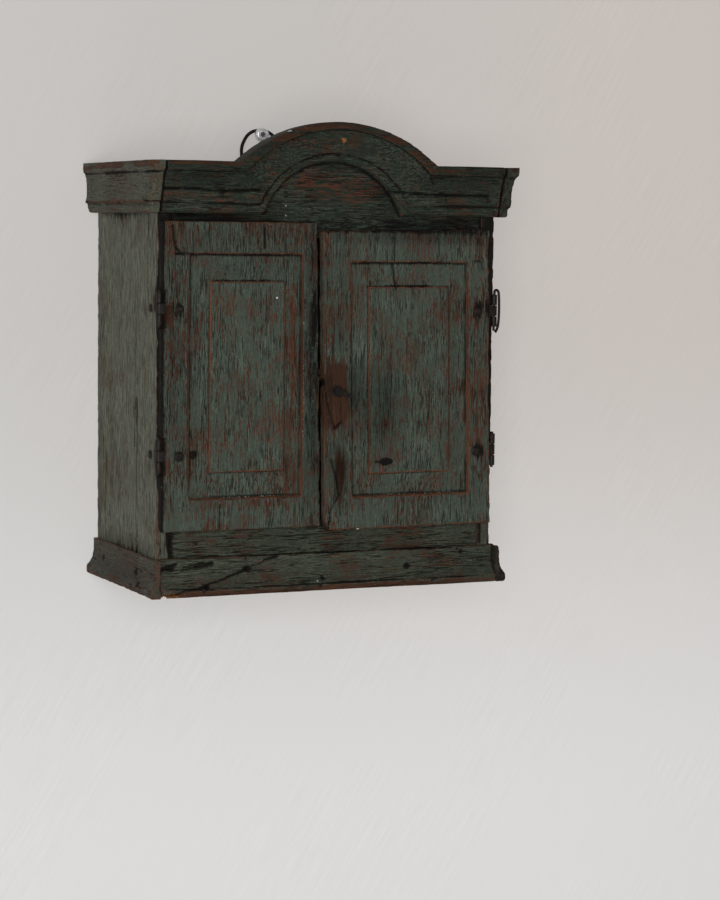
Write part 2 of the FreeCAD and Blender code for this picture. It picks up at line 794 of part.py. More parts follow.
def make_small_nails():
    cove = CORNICE_FOOT + S.bead_height * 1.75
    front = FRONT - S.cove_low_depth - S.nail_sink
    edge = S.return_cove_depth - S.return_hollow - S.nail_sink
    return_y = (FRONT * 0.22, FRONT * 0.8)
    places = [(HALF * share, front, cove, "+y") for share in (-0.66, 0.66, 0.92)]
    places += [((HALF + edge) * sign, y, cove, "-x" if sign > 0 else "+x")
               for sign in (-1, 1) for y in return_y]
    nail_group("cornice_nails", places, S.small_nail_length)

    lip = S.base_height - S.base_lip / 2
    low = S.base_foot * 0.7
    lip_front = FRONT - S.base_lip_depth + S.nail_sink
    low_front = FRONT - S.base_depth + S.nail_sink
    places = [(HALF * share, lip_front, lip, "+y") for share in (-0.5, 0.78)]
    places += [(HALF * share, low_front, low, "+y") for share in (-0.76, -0.08, 0.6)]
    places += [((HALF + S.base_side_depth - S.nail_sink) * sign, y, low, "-x" if sign > 0 else "+x")
               for sign in (-1, 1) for y in (FRONT * 0.2, FRONT * 0.76)]
    nail_group("base_nails", places, S.small_nail_length)

    cleat_z = S.shelf_height - S.cleat_height / 2
    places = [((INNER - S.cleat_width) * sign, FRONT * share, cleat_z, "-x" if sign < 0 else "+x")
              for sign in (-1, 1) for share in (0.25, 0.75)]
    nail_group("cleat_nails", places, S.cleat_nail_length)


def make_back_nails():
    # Flush nails from behind, one into the floor and one into the ceiling through each plank
    plank = (INNER * 2 - S.plank_gap * 2) / 3
    nails = []
    for column in range(3):
        x = -INNER + plank / 2 + (plank + S.plank_gap) * column
        for row, height in enumerate((S.floor_height, CEILING)):
            nails.append(rod(f"back_nail_{column}{row}", (x, Size("0", 0.0), height + S.board_thickness / 2),
                             "-y", S.small_nail_shank, S.back_nail_length))
    finish(group("back_nails", nails), "back_nails")


# Latch: a spindle through the right door with a lever outside and an arm inside
def make_latch():
    ring = rod("washer_disc", (S.latch_x, DOOR_FRONT, S.latch_height), "-y",
               S.washer_radius, S.washer_thickness)
    hole = rod("washer_hole", (S.latch_x, DOOR_FRONT, S.latch_height), "-y",
               S.spindle_radius + S.spindle_play, S.washer_thickness)
    set_ajar(finish(cut("latch_washer", ring, [hole]), "latch_washer"))

    washer_front = DOOR_FRONT - S.washer_thickness - S.barrel_clearance
    arm_front = DOOR_BACK + S.arm_setback
    arm_back = arm_front + S.arm_thickness
    spindle_front = washer_front - S.lever_thickness
    spindle = rod("latch_rod", (S.latch_x, spindle_front, S.latch_height), "+y", S.spindle_radius,
                  arm_back + S.rivet_stand - spindle_front)
    rivet = cone("latch_rivet", (S.latch_x, arm_back, S.latch_height), "+y",
                 S.spindle_radius * 1.6, S.spindle_radius, S.rivet_stand)
    lever = flat_bar("latch_lever", washer_front, S.lever_length, S.lever_root, S.lever_tip,
                     S.lever_thickness, S.lever_droop)
    set_ajar(finish(fuse("latch_spindle", [spindle, rivet, lever]), "latch_spindle"))

    bar = flat_bar("latch_arm_bar", arm_back, S.arm_length, S.arm_width, S.arm_width * 0.6,
                   S.arm_thickness, Size("0", 0.0))
    hole = rod("latch_arm_hole", (S.latch_x, arm_front, S.latch_height), "+y",
               S.spindle_radius, S.arm_thickness)
    set_ajar(finish(cut("latch_arm", bar, [hole]), "latch_arm"))


def flat_bar(name, back, length, root, tip, thickness, droop):
    # A tapered bar with round ends, flat side to the front, turning about the spindle
    body = new_body(name, x=S.latch_x, y=back, z=S.latch_height)
    points = [(0, -root / 2), (length - tip / 2, -tip / 2), (length - tip / 2, tip / 2), (0, root / 2)]
    arcs = {1: (tip / 2 * 0.9, False), 3: (root / 2 * 0.9, False)}
    pad(body, outline(sketch_on(body, "XZ_Plane"), points, arcs), thickness)
    if droop.value != 0.0:
        body.Placement = FreeCAD.Placement(Vector(), Rotation(Vector(0, 1, 0), droop.value))
        body.setExpression("Placement.Rotation.Angle", f"{droop.text} * 1 deg")
    return body


def make_keeper():
    # A bent nail in the shelf's front edge; the latch arm turns up behind it
    shelf_front = FRONT + S.shelf_setback
    height = S.shelf_height + S.board_thickness / 2
    body = new_body("latch_keeper", x=S.latch_x - S.keeper_left, z=height)
    start = shelf_front + S.keeper_depth
    corner = shelf_front - S.keeper_reach
    path = sketch_on(body, "XY_Plane")
    bend = S.keeper_bend
    shank = path.addGeometry(Part.LineSegment(Vector(0, start.value, 0),
                                              Vector(0, corner.value + bend.value, 0)))
    turn = path.addGeometry(Part.ArcOfCircle(
        Part.Circle(Vector(bend.value, corner.value + bend.value, 0), Vector(0, 0, 1), bend.value),
        math.pi, 1.5 * math.pi))
    bar = path.addGeometry(Part.LineSegment(Vector(bend.value, corner.value, 0),
                                            Vector(S.keeper_length.value, corner.value, 0)))
    path.addConstraint(Sketcher.Constraint("Coincident", shank, 2, turn, 1))
    path.addConstraint(Sketcher.Constraint("Coincident", turn, 2, bar, 1))
    hold_point(path, shank, 1, (Size("0", 0.0), start))
    hold_point(path, shank, 2, (Size("0", 0.0), corner + bend))
    hold_point(path, bar, 1, (bend, corner))
    hold_point(path, bar, 2, (S.keeper_length, corner))
    hold(path, "Radius", (turn,), (), bend)
    section = sketch_on(body, "XZ_Plane", -start)
    ring = section.addGeometry(Part.Circle(Vector(), Vector(0, 0, 1), S.keeper_radius.value))
    section.addConstraint(Sketcher.Constraint("Coincident", ring, 3, -1, 1))
    hold(section, "Radius", (ring,), (), S.keeper_radius)
    pipe = body.newObject("PartDesign::AdditivePipe", "latch_keeper_pipe")
    pipe.Profile = section
    pipe.Spine = (path, ["Edge1", "Edge2", "Edge3"])
    finish(body, "latch_keeper")


# Hanging: a screw in the wall, and a cord from two holes in the ceiling up over it
SCREW_X = -S.hang_offset


def cord_legs():
    return (("left", SCREW_X - S.cord_leg), ("right", SCREW_X + S.cord_leg))


def make_screw():
    body = new_body("hanging_screw", x=SCREW_X, z=HANG_HEIGHT)
    profile = sketch_on(body, "YZ_Plane")
    face = -S.screw_stand_off - S.screw_head_height
    crown = S.screw_head_height * 0.6
    thread_end = S.screw_thread_length
    points = [(face, 0), (face, S.screw_head_radius * 0.55), (face + crown, S.screw_head_radius),
              (-S.screw_stand_off, S.screw_head_radius), (-S.screw_stand_off, S.screw_neck_radius),
              (-S.screw_seat, S.screw_neck_radius), (-S.screw_seat, S.screw_thread_radius),
              (thread_end, S.screw_thread_radius), (thread_end + S.screw_tip_length, 0)]
    outline(profile, points, {1: (crown * 0.35, True)})
    turn = body.newObject("PartDesign::Revolution", "screw_turn")
    turn.Profile = profile
    turn.ReferenceAxis = (profile, ["H_Axis"])
    turn.Angle = 360.0
    doc.recompute()
    recess = sketch_on(body, "XZ_Plane", -face)
    star = []
    for number in range(12):
        reach = S.screw_recess_radius * (1.0 if number % 2 == 0 else 0.72)
        bearing = math.radians(30.0 * number + 15.0)
        star.append((reach * math.cos(bearing), reach * math.sin(bearing)))
    pocket(body, outline(recess, star), S.screw_recess_depth)
    finish(body, "hanging_screw")


def cord_route():
    # Control points of the cord from the left knot over the screw to the right knot, in the row frame
    leg = S.cord_leg.value
    back = -S.cord_back.value
    screw = -S.cord_on_screw.value
    crown = S.screw_neck_radius.value + S.cord_radius.value + S.cord_rest.value
    foot = CEILING.value - HANG_HEIGHT.value - S.knot_height.value / 2
    left = [Vector(-leg, back, foot),
            Vector(-leg - 0.6, back, foot + 17.0),
            Vector(-leg - 0.2, back + 2.0, foot + 34.0),
            Vector(-leg + 0.9, screw - 2.6, -9.5),
            Vector(-9.0, screw, crown)]
    return left + [Vector(-p.x, p.y, p.z) for p in reversed(left)]


def rounded_path(points):
    # Straight runs joined by tangent arcs, each as large as its two runs allow
    edges, radii = [], []
    start = points[0]
    for before, corner, after in zip(points, points[1:], points[2:]):
        inward = (corner - before).normalize()
        outward = (after - corner).normalize()
        turn = inward.getAngle(outward)
        trim = 0.45 * min((corner - before).Length, (after - corner).Length)
        radii.append(trim / math.tan(turn / 2))
        first = corner - inward * trim
        last = corner + outward * trim
        middle_way = (outward - inward).normalize()
        reach = radii[-1] / math.cos(turn / 2) - radii[-1]
        edges.append(Part.LineSegment(start, first).toShape())
        edges.append(Part.Arc(first, corner + middle_way * reach, last).toShape())
        start = last
    edges.append(Part.LineSegment(start, points[-1]).toShape())
    return Part.Wire(edges), radii


def make_cord():
    route = cord_route()
    path, radii = rounded_path(route)
    ring = Part.Wire([Part.Circle(route[0], route[1] - route[0], S.cord_radius.value).toShape()])
    tube = path.makePipeShell([ring], True, True)
    expected = math.pi * S.cord_radius.value ** 2 * path.Length
    print(f"cord length {path.Length:.1f}, radii {[round(r, 1) for r in radii]}, "
          f"volume {tube.Volume:.1f} of {expected:.1f}")
    cord = doc.addObject("Part::Feature", "hanging_cord")
    cord.Shape = tube
    finish(cord, "hanging_cord")

    for name, x in cord_legs():
        label = f"cord_knot_{name}"
        body = new_body(label, x=x, y=-S.cord_back, z=CEILING)
        profile = sketch_on(body, "XZ_Plane")
        points = [(0, -S.knot_height), (S.knot_radius * 0.5, -S.knot_height),
                  (S.knot_radius * 0.5, 0), (0, 0)]
        outline(profile, points, {1: (S.knot_radius * 0.5, False)})
        turn = body.newObject("PartDesign::Revolution", label + "_turn")
        turn.Profile = profile
        turn.ReferenceAxis = (profile, ["V_Axis"])
        turn.Angle = 360.0
        finish(body, label)


def check_and_export():
    doc.recompute()
    faults = [obj.Label for obj in doc.Objects if "Invalid" in obj.State or "Error" in obj.State]
    for obj in finished:
        shape = obj.Shape
        if shape.isNull() or not shape.isValid() or shape.Volume <= 0:
            faults.append(obj.Label + " has no valid solid")
    if faults:
        raise RuntimeError("failed: " + ", ".join(faults))
    os.makedirs("parts", exist_ok=True)
    for obj in finished:
        obj.Shape.exportStep(os.path.join("parts", obj.Label + ".step"))
        print(f"{obj.Label}: {len(obj.Shape.Solids)} solid, {obj.Shape.Volume:.0f} mm3")


make_case()
make_frieze()
make_cornice()
make_base()
make_doors()
make_hinge("left_upper", -1, S.left_upper_hinge)
make_hinge("left_lower", -1, S.left_lower_hinge)
make_hinge("right_upper", 1, S.right_upper_hinge, wire=True)
make_hinge("right_lower", 1, S.right_lower_hinge)
make_hinge_nails()
make_small_nails()
make_back_nails()
make_latch()
make_keeper()
make_screw()
make_cord()
check_and_export()
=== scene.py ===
import math

import bmesh
import bpy
import numpy as np
from mathutils import Matrix, Vector


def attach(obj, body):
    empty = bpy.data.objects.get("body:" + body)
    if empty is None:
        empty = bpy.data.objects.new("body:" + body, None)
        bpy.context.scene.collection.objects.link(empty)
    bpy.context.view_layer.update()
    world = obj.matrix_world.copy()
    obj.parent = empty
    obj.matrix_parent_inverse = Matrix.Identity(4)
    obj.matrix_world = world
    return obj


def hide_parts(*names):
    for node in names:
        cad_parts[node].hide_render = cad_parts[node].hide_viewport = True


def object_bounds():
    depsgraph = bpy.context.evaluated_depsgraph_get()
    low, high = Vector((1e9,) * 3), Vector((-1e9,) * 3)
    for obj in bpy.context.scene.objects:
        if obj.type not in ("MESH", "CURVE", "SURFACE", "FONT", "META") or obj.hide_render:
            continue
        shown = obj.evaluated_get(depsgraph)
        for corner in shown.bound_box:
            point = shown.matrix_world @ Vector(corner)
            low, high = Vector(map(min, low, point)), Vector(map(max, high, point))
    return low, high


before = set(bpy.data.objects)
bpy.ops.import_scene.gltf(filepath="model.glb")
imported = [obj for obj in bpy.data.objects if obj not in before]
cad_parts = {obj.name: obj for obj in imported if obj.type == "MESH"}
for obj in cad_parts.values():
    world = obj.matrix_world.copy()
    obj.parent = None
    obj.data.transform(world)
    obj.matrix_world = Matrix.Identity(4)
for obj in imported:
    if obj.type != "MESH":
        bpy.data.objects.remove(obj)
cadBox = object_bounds()

# Places are written in millimetres from the middle of the case, the wall and the underside of the base
mm = 0.001
lowCorner, highCorner = cadBox
caseShift = Vector((round((lowCorner[0] + highCorner[0]) / 2, 4), 0.0, round(lowCorner[2], 4)))


def spot(x, y, z):
    return Vector((x, y, z)) * mm + caseShift


def newObject(name, data):
    obj = bpy.data.objects.new(name, data)
    bpy.context.scene.collection.objects.link(obj)
    return obj


def handOver(obj, body, node):
    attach(obj, body)
    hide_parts(node)


# Camera, from the photograph's own perspective
cameraLook = {"place": (-812.8, -2027.4, 298.7), "turn": 24.17, "dip": 5.13, "roll": 0.67, "lens": 99.4,
              "sensor": 36.0, "clip": (0.05, 30.0)}


def makeCamera():
    turn, dip, roll = (math.radians(cameraLook[name]) for name in ("turn", "dip", "roll"))
    ahead = Vector((math.sin(turn) * math.cos(dip), math.cos(turn) * math.cos(dip), -math.sin(dip)))
    level = Vector((math.cos(turn), -math.sin(turn), 0.0))
    rise = level.cross(ahead)
    across = level * math.cos(roll) + rise * math.sin(roll)
    upward = rise * math.cos(roll) - level * math.sin(roll)
    data = bpy.data.cameras.new("photoCamera")
    data.lens = cameraLook["lens"]
    data.sensor_fit = "VERTICAL"
    data.sensor_height = cameraLook["sensor"]
    data.clip_start, data.clip_end = cameraLook["clip"]
    camera = newObject("photoCamera", data)
    matrix = Matrix((across, upward, -ahead)).transposed().to_4x4()
    matrix.translation = spot(*cameraLook["place"])
    camera.matrix_world = matrix
    bpy.context.scene.camera = camera
    print("camera set")


# Node building: plain values set a socket, sockets are linked to it
class Desk:
    def __init__(self, tree):
        self.tree = tree

    def put(self, kind, values=None, **settings):
        node = self.tree.nodes.new(kind)
        for key, setting in settings.items():
            setattr(node, key, setting)
        for key, value in (values or {}).items():
            self.feed(node.inputs[key] if isinstance(key, int) else live(node.inputs, key), value)
        return node

    def feed(self, socket, value):
        if isinstance(value, bpy.types.NodeSocket):
            self.tree.links.new(value, socket)
        else:
            socket.default_value = (*value, 1.0) if socket.type == "RGBA" else value

    def maths(self, operation, *values):
        return self.put("ShaderNodeMath", dict(enumerate(values)), operation=operation).outputs[0]

    def add(self, *values):
        total = values[0]
        for value in values[1:]:
            total = self.maths("ADD", total, value)
        return total

    def times(self, first, second):
        return self.maths("MULTIPLY", first, second)

    def plus(self, value, base, share):
        return self.add(base, self.times(value, share))

    def blend(self, *parts):
        return self.add(*[self.times(value, share) for value, share in parts])

    def centred(self, value):
        return self.maths("SUBTRACT", value, 0.5)

    def vector(self, operation, *values):
        node = self.put("ShaderNodeVectorMath", dict(enumerate(values)), operation=operation)
        return node.outputs["Value"] if operation == "DOT_PRODUCT" else node.outputs[0]

    def scaled(self, vector, factor):
        return self.put("ShaderNodeVectorMath", {0: vector, "Scale": factor}, operation="SCALE").outputs[0]

    def between(self, value, low, high):
        return self.put("ShaderNodeMapRange", {"Value": value, "From Min": low, "From Max": high},
                        interpolation_type="SMOOTHSTEP").outputs[0]

    def below(self, value, low, high):
        return self.maths("SUBTRACT", 1.0, self.between(value, low, high))

    def noise(self, place, scale, seed, detail=3.0):
        return self.put("ShaderNodeTexNoise", {"Vector": place, "W": seed, "Scale": scale, "Detail": detail},
                        noise_dimensions="4D").outputs[0]

    def wobble(self, place, scale, reach):
        cloud = self.put("ShaderNodeTexNoise", {"Vector": place, "Scale": scale, "Detail": 2.0})
        return self.scaled(self.vector("SUBTRACT", cloud.outputs["Color"], (0.5, 0.5, 0.5)), reach)

    def mix(self, share, first, second):
        return self.put("ShaderNodeMix", {0: share, 6: first, 7: second}, data_type="RGBA").outputs[2]

    def tinted(self, colour, *channels):
        node = self.put("ShaderNodeMix", {0: 1.0, 6: colour}, data_type="RGBA", blend_type="MULTIPLY")
        self.feed(node.inputs[7], self.put("ShaderNodeCombineColor", dict(enumerate(channels))).outputs[0])
        return node.outputs[2]

    def onward(self, shape, kind, values=None, **settings):
        return self.put("GeometryNode" + kind, {"Geometry": shape, **(values or {})}, **settings).outputs[0]


def live(sockets, name):
    return next(socket for socket in sockets if socket.name == name and socket.enabled)


def newTree(name, kind, inputs, outputs):
    tree = bpy.data.node_groups.new(name, kind)
    for direction, sockets in (("INPUT", inputs), ("OUTPUT", outputs)):
        for label, socketKind in sockets.items():
            tree.interface.new_socket(label, in_out=direction, socket_type="NodeSocket" + socketKind)
    desk = Desk(tree)
    return tree, desk, desk.put("NodeGroupInput").outputs, desk.put("NodeGroupOutput").inputs


# Weathering tree: uneven surface, raised grain, chipped edges and carved cracks, with masks for the paint
weatherSizes = {"Cell": "cell", "Wave": "wave", "Grain": "grain", "Chip": "chip", "Crack Width": "crackWidth",
                "Crack Depth": "crackDepth"}
weatherLook = {"softening": 6, "edge": (0.08, 0.36), "cavity": (0.08, 0.4), "wanderScale": 260.0,
               "wander": 1.6, "raggedScale": 42.0, "raggedSeed": 11.0, "ragged": (0.3, 0.7),
               "thinnest": 0.35, "crackRim": (0.35, 1.0), "waveScale": 16.0, "grainScale": 0.5,
               "grainSeed": 3.0, "biteScale": 120.0, "biteSeed": 7.0, "bite": (0.42, 0.72)}


def makeWeatherTree():
    look = weatherLook
    inputs = {"Geometry": "Geometry", "Marks": "Object", "Finish": "Material", "Stretch": "Vector",
              "Flat": "Vector", "Seed": "Float", **{name: "Float" for name in weatherSizes}}
    tree, desk, given, result = newTree("weatherTree", "GeometryNodeTree", inputs, {"Geometry": "Geometry"})
    place = desk.put("GeometryNodeInputPosition").outputs[0]
    normal = desk.put("GeometryNodeInputNormal").outputs[0]
    blur = desk.put("GeometryNodeBlurAttribute", {"Value": place, "Iterations": look["softening"]},
                    data_type="FLOAT_VECTOR")
    lifted = desk.vector("SUBTRACT", place, live(blur.outputs, "Value"))
    bulge = desk.maths("DIVIDE", desk.vector("DOT_PRODUCT", lifted, normal), given["Cell"])
    edge = desk.between(bulge, *look["edge"])
    cavity = desk.between(desk.times(bulge, -1.0), *look["cavity"])

    jitter = desk.wobble(place, look["wanderScale"], look["wander"] * mm)
    lines = desk.put("GeometryNodeObjectInfo", {"Object": given["Marks"]}, transform_space="ORIGINAL")
    flatPlace = desk.vector("MULTIPLY", desk.vector("ADD", place, jitter), given["Flat"])
    near = desk.put("GeometryNodeProximity", {0: lines.outputs["Geometry"], "Sample Position": flatPlace},
                    target_element="EDGES")
    ragged = desk.between(desk.noise(place, look["raggedScale"], look["raggedSeed"]), *look["ragged"])
    width = desk.times(given["Crack Width"], desk.add(look["thinnest"], ragged))
    crack = desk.below(desk.maths("DIVIDE", near.outputs["Distance"], width), *look["crackRim"])

    flow = desk.vector("MULTIPLY", place, given["Stretch"])
    wave = desk.noise(place, look["waveScale"], given["Seed"])
    grain = desk.noise(flow, look["grainScale"], desk.add(given["Seed"], look["grainSeed"]))
    bite = desk.noise(place, look["biteScale"], desk.add(given["Seed"], look["biteSeed"]))
    chip = desk.times(desk.times(desk.between(bite, *look["bite"]), edge), given["Chip"])
    raised = desk.blend((desk.centred(wave), given["Wave"]), (desk.centred(grain), given["Grain"]))
    lift = desk.maths("SUBTRACT", raised, desk.add(chip, desk.times(crack, given["Crack Depth"])))

    shape = given["Geometry"]
    for name, field in (("edge", edge), ("cavity", cavity), ("crack", crack)):
        shape = desk.onward(shape, "StoreNamedAttribute", {"Name": name, "Value": field}, data_type="FLOAT",
                            domain="POINT")
    shape = desk.onward(shape, "SetPosition", {"Offset": desk.scaled(normal, lift)})
    shape = desk.onward(shape, "SetShadeSmooth")
    shape = desk.onward(shape, "RealizeInstances")
    desk.feed(result[0], desk.onward(shape, "SetMaterial", {"Material": given["Finish"]}))
    return tree


def setInputs(modifier, tree, values):
    modifier.node_group = tree
    names = {item.name: item.identifier for item in tree.interface.items_tree if item.in_out == "INPUT"}
    for name, value in values.items():
        modifier[names[name]] = value


def plainMesh(obj):
    graph = bpy.context.evaluated_depsgraph_get()
    return bpy.data.meshes.new_from_object(obj.evaluated_get(graph), preserve_all_data_layers=True,
                                           depsgraph=graph)


def freeze(obj):
    mesh = plainMesh(obj)
    obj.modifiers.clear()
    obj.data = mesh


def mergedMesh(node, gap=1e-6):
    build = bmesh.new()
    build.from_mesh(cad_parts[node].data)
    bmesh.ops.remove_doubles(build, verts=build.verts, dist=gap)
    return build


def cadCopy(node, name, fillers, bites):
    build = mergedMesh(node)
    for point, away in bites:
        cut = bmesh.ops.bisect_plane(build, geom=build.verts[:] + build.edges[:] + build.faces[:],
                                     plane_co=spot(*point), plane_no=away, clear_outer=True)
        rims = [part for part in cut["geom_cut"] if isinstance(part, bmesh.types.BMEdge)]
        bmesh.ops.holes_fill(build, edges=rims)
    for low, high in fillers:
        size = Vector(high) - Vector(low)
        middle = spot(*((Vector(low) + Vector(high)) / 2))
        matrix = Matrix.Translation(middle) @ Matrix.Diagonal((*(size * mm), 1.0))
        bmesh.ops.create_cube(build, size=1.0, matrix=matrix)
    mesh = bpy.data.meshes.new(name)
    build.to_mesh(mesh)
    build.free()
    return newObject(name, mesh)


# Cracks are written flat: how far along the face, and how high
noCrack = [(0.0, 9e4), (0.0, 9.1e4)]


def crackLines(name, lines, flat):
    # A board with no crack gets one line far away, so that the tree always has a target
    points, edges = [], []
    for line in lines or [noCrack]:
        start = len(points)
        points += [spot(along, along, height) * Vector(flat) for along, height in line]
        edges += [(start + step, start + step + 1) for step in range(len(line) - 1)]
    mesh = bpy.data.meshes.new(name)
    mesh.from_pydata(points, edges, [])
    return newObject(name, mesh)


# Wear, stains, painted shade and painted highlights that sit at a known place: soft patches kept as
# attributes that the paint reads. Patches of one depth, reach into the wood and squareness stand together,
# each with its kind, place, half sizes and strength.
oval, plump, boxy, square = 2.0, 2.6, 4.0, 6.0
patchRim = 1.35
insideSteep, insideStart = 4.0, 2.9


def onFront(groups):
    return [(kind, (x, depth, z), (wide, reach, tall), strength, power)
            for depth, reach, power, *rows in groups for kind, x, z, wide, tall, strength in rows]


def onSide(groups, sign):
    return [(kind, (x * sign, y, z), (reach, deep, tall), strength, power)
            for x, reach, power, *rows in groups for kind, y, z, deep, tall, strength in rows]


def markPatches(obj, patches, inside, panels):
    mesh = obj.data
    places = np.empty(len(mesh.vertices) * 3, dtype=np.float32)
    mesh.vertices.foreach_get("co", places)
    places = (places.reshape(-1, 3) - np.array(caseShift, dtype=np.float32)) / mm
    kinds = {}
    for kind, centre, half, strength, power, *arch in patches:
        steps = (places - np.array(centre)) / np.array(half)
        away = (np.abs(steps) ** power).sum(axis=1) ** (1.0 / power)
        fade = patchRim - away
        if arch:
            # A ring instead: its width and foot as shares of its size
            width, foot = arch
            fade = np.where(steps[:, 2] > foot, 1.0 - np.abs(away - 1.0) / width, 0.0)
        kinds[kind] = np.maximum(kinds.get(kind, 0.0), np.clip(fade, 0.0, 1.0) * strength)
    if inside:
        normals = np.empty(len(mesh.vertices) * 3, dtype=np.float32)
        mesh.vertex_normals.foreach_get("vector", normals)
        facing = normals.reshape(-1, 3) @ np.array(inside)
        kinds["inside"] = np.clip(facing * insideSteep - insideStart, 0.0, 1.0)
    for kind, outline in (panels or {}).items():
        kinds[kind] = panelDepth(places, *outline)
    for kind, values in kinds.items():
        layer = mesh.attributes.new(kind, "FLOAT", "POINT")
        layer.data.foreach_set("value", values.astype(np.float32))


# A panel's mask: panelLine on its outline, one more for each millimetre inside it and one less outside
panelLine, panelReach, panelBack = 10.0, 9.0, -157.0


def panelDepth(places, low, high, lean):
    x, y, z = places.T
    x = x + lean * (z - low[1]) / (high[1] - low[1])
    depth = np.minimum(np.minimum(x - low[0], high[0] - x), np.minimum(z - low[1], high[1] - z))
    return np.clip(panelLine + depth, panelLine - panelReach, panelLine + panelReach) * (y < panelBack)


upGrain = (680.0, 680.0, 50.0)
sideGrain = (50.0, 680.0, 680.0)
depthGrain = (680.0, 50.0, 680.0)
frontFlat, sideFlat = (1.0, 0.0, 1.0), (0.0, 1.0, 1.0)
plainBoard = {"flat": frontFlat, "crackWidth": 1.0, "crackDepth": 1.5}


def weathered(node, look, body="carcass", cracks=(), patches=(), inside=None, fillers=(), panels=None,
              bites=()):
    look = {**plainBoard, **look}
    finish = look["finish"]
    name = node + "_worn"
    obj = cadCopy(node, name, fillers, bites)
    even = obj.modifiers.new("even", "REMESH")
    even.mode = "VOXEL"
    even.voxel_size = look["cell"] * mm
    lines = crackLines(name + "_cracks", cracks, look["flat"])
    setInputs(obj.modifiers.new("weather", "NODES"), trees["weather"], {
        "Marks": lines, "Finish": finishes[finish], "Stretch": grainWays[finish], "Flat": look["flat"],
        "Seed": look["seed"], **{label: look[key] * mm for label, key in weatherSizes.items()}})
    freeze(obj)
    bpy.data.objects.remove(lines)
    markPatches(obj, patches, inside, panels)
    handOver(obj, body, node)


# Shared shader groups; a dash and a line are given as scale and detail
grainLook = {"dash": (1.4, 2.0), "line": (1.9, 1.0), "lineSeed": 17.0, "shares": (0.45, 0.55),
             "fibre": (0.38, 0.62), "cloud": (0.3, 0.7), "slack": 18.0, "contour": 1.05, "contourSeed": 23.0,
             "thin": (0.012, 0.06)}
grainInputs = {"Place": "Vector", "Stretch": "Vector", "Flake": "Float", "Seed": "Float"}


def makeGrainGroup():
    look = grainLook
    outputs = {name: "Float" for name in ("Fibre", "Streak", "Patch", "Speck", "Line")}
    tree, desk, given, result = newTree("grainPattern", "ShaderNodeTree", grainInputs, outputs)
    place, seed = given["Place"], given["Seed"]
    flow = desk.vector("MULTIPLY", place, given["Stretch"])
    short = desk.vector("ADD", flow, desk.scaled(place, given["Flake"]))
    (dashScale, dashDetail), (lineScale, lineDetail) = look["dash"], look["line"]
    dash = desk.noise(short, dashScale, seed, dashDetail)
    line = desk.noise(flow, lineScale, desk.add(seed, look["lineSeed"]), lineDetail)
    fibre = desk.blend(*zip((dash, line), look["shares"]))
    desk.feed(result["Fibre"], desk.between(fibre, *look["fibre"]))
    for name, way, scale, shift, detail in (("Streak", flow, 0.4, 5.0, 4.0), ("Patch", place, 30.0, 9.0, 5.0),
                                            ("Speck", place, 700.0, 13.0, 2.0)):
        cloud = desk.noise(way, scale, desk.add(seed, shift), detail)
        desk.feed(result[name], desk.between(cloud, *look["cloud"]))
    # Thin long lines: where a stretched cloud passes its middle
    longer = desk.vector("SUBTRACT", flow, desk.scaled(place, look["slack"]))
    cloud = desk.noise(longer, look["contour"], desk.add(seed, look["contourSeed"]), 1.0)
    desk.feed(result["Line"], desk.below(desk.maths("ABSOLUTE", desk.centred(cloud)), *look["thin"]))
    return tree


# grimeAndShade is the near-black of dirt, dark grain lines and cracks, and also of painted shade
paintColours = {
    "red": (0.085, 0.03, 0.0175), "redDark": (0.042, 0.018, 0.011), "edgeWood": (0.125, 0.052, 0.027),
    "grimeAndShade": (0.0055, 0.0048, 0.004), "bareWood": (0.072, 0.034, 0.0195), "bareDark": (0.014, 0.008, 0.0055),
    "inner": (0.125, 0.08, 0.049), "innerDark": (0.066, 0.04, 0.025), "fleck": (0.15, 0.155, 0.13),
    "splashAndHighlight": (0.52, 0.5, 0.46), "fresh": (0.21, 0.085, 0.028)}
# Where each effect begins and is full; the panels' own are in millimetres about panelLine
paintLimits = {
    "tone": (0.25, 0.75), "red": (0.68, 0.78), "redLine": (0.5, 0.75), "dirtAndShade": (0.68, 0.82),
    "darkLine": (0.3, 0.55), "rim": (0.45, 0.9), "broken": (0.04, 0.34), "fieldLine": (0.45, 1.0),
    "sunkLine": (0.3, 0.8), "sunkStart": (10.2, 10.7), "sunkEnd": (11.2, 13.2), "grooveStart": (8.6, 9.3),
    "grooveEnd": (9.5, 9.9), "shade": (0.0, 0.6), "bare": (0.4, 0.62), "bareRoom": (0.02, 0.2),
    "soot": (0.25, 0.85), "sootAndShadeRoom": (0.0, 0.2), "speck": (0.95, 1.0), "speckRoom": (0.55, 0.8),
    "splashAndHighlight": (0.5, 0.8), "fresh": (0.45, 0.75)}
paintShares = {"red": 0.92, "redLine": 0.9, "dirtAndShade": 0.5, "outline": 0.95, "shade": 0.95, "soot": 0.96,
               "fleck": 0.35, "crack": 0.95}
paintMasks = ("Edge", "Cavity", "Crack", "Bare", "Soot", "Rub", "Dim", "Fleck", "Fresh", "Field", "Sunk",
              "Inside")
secondSeed = 31.0


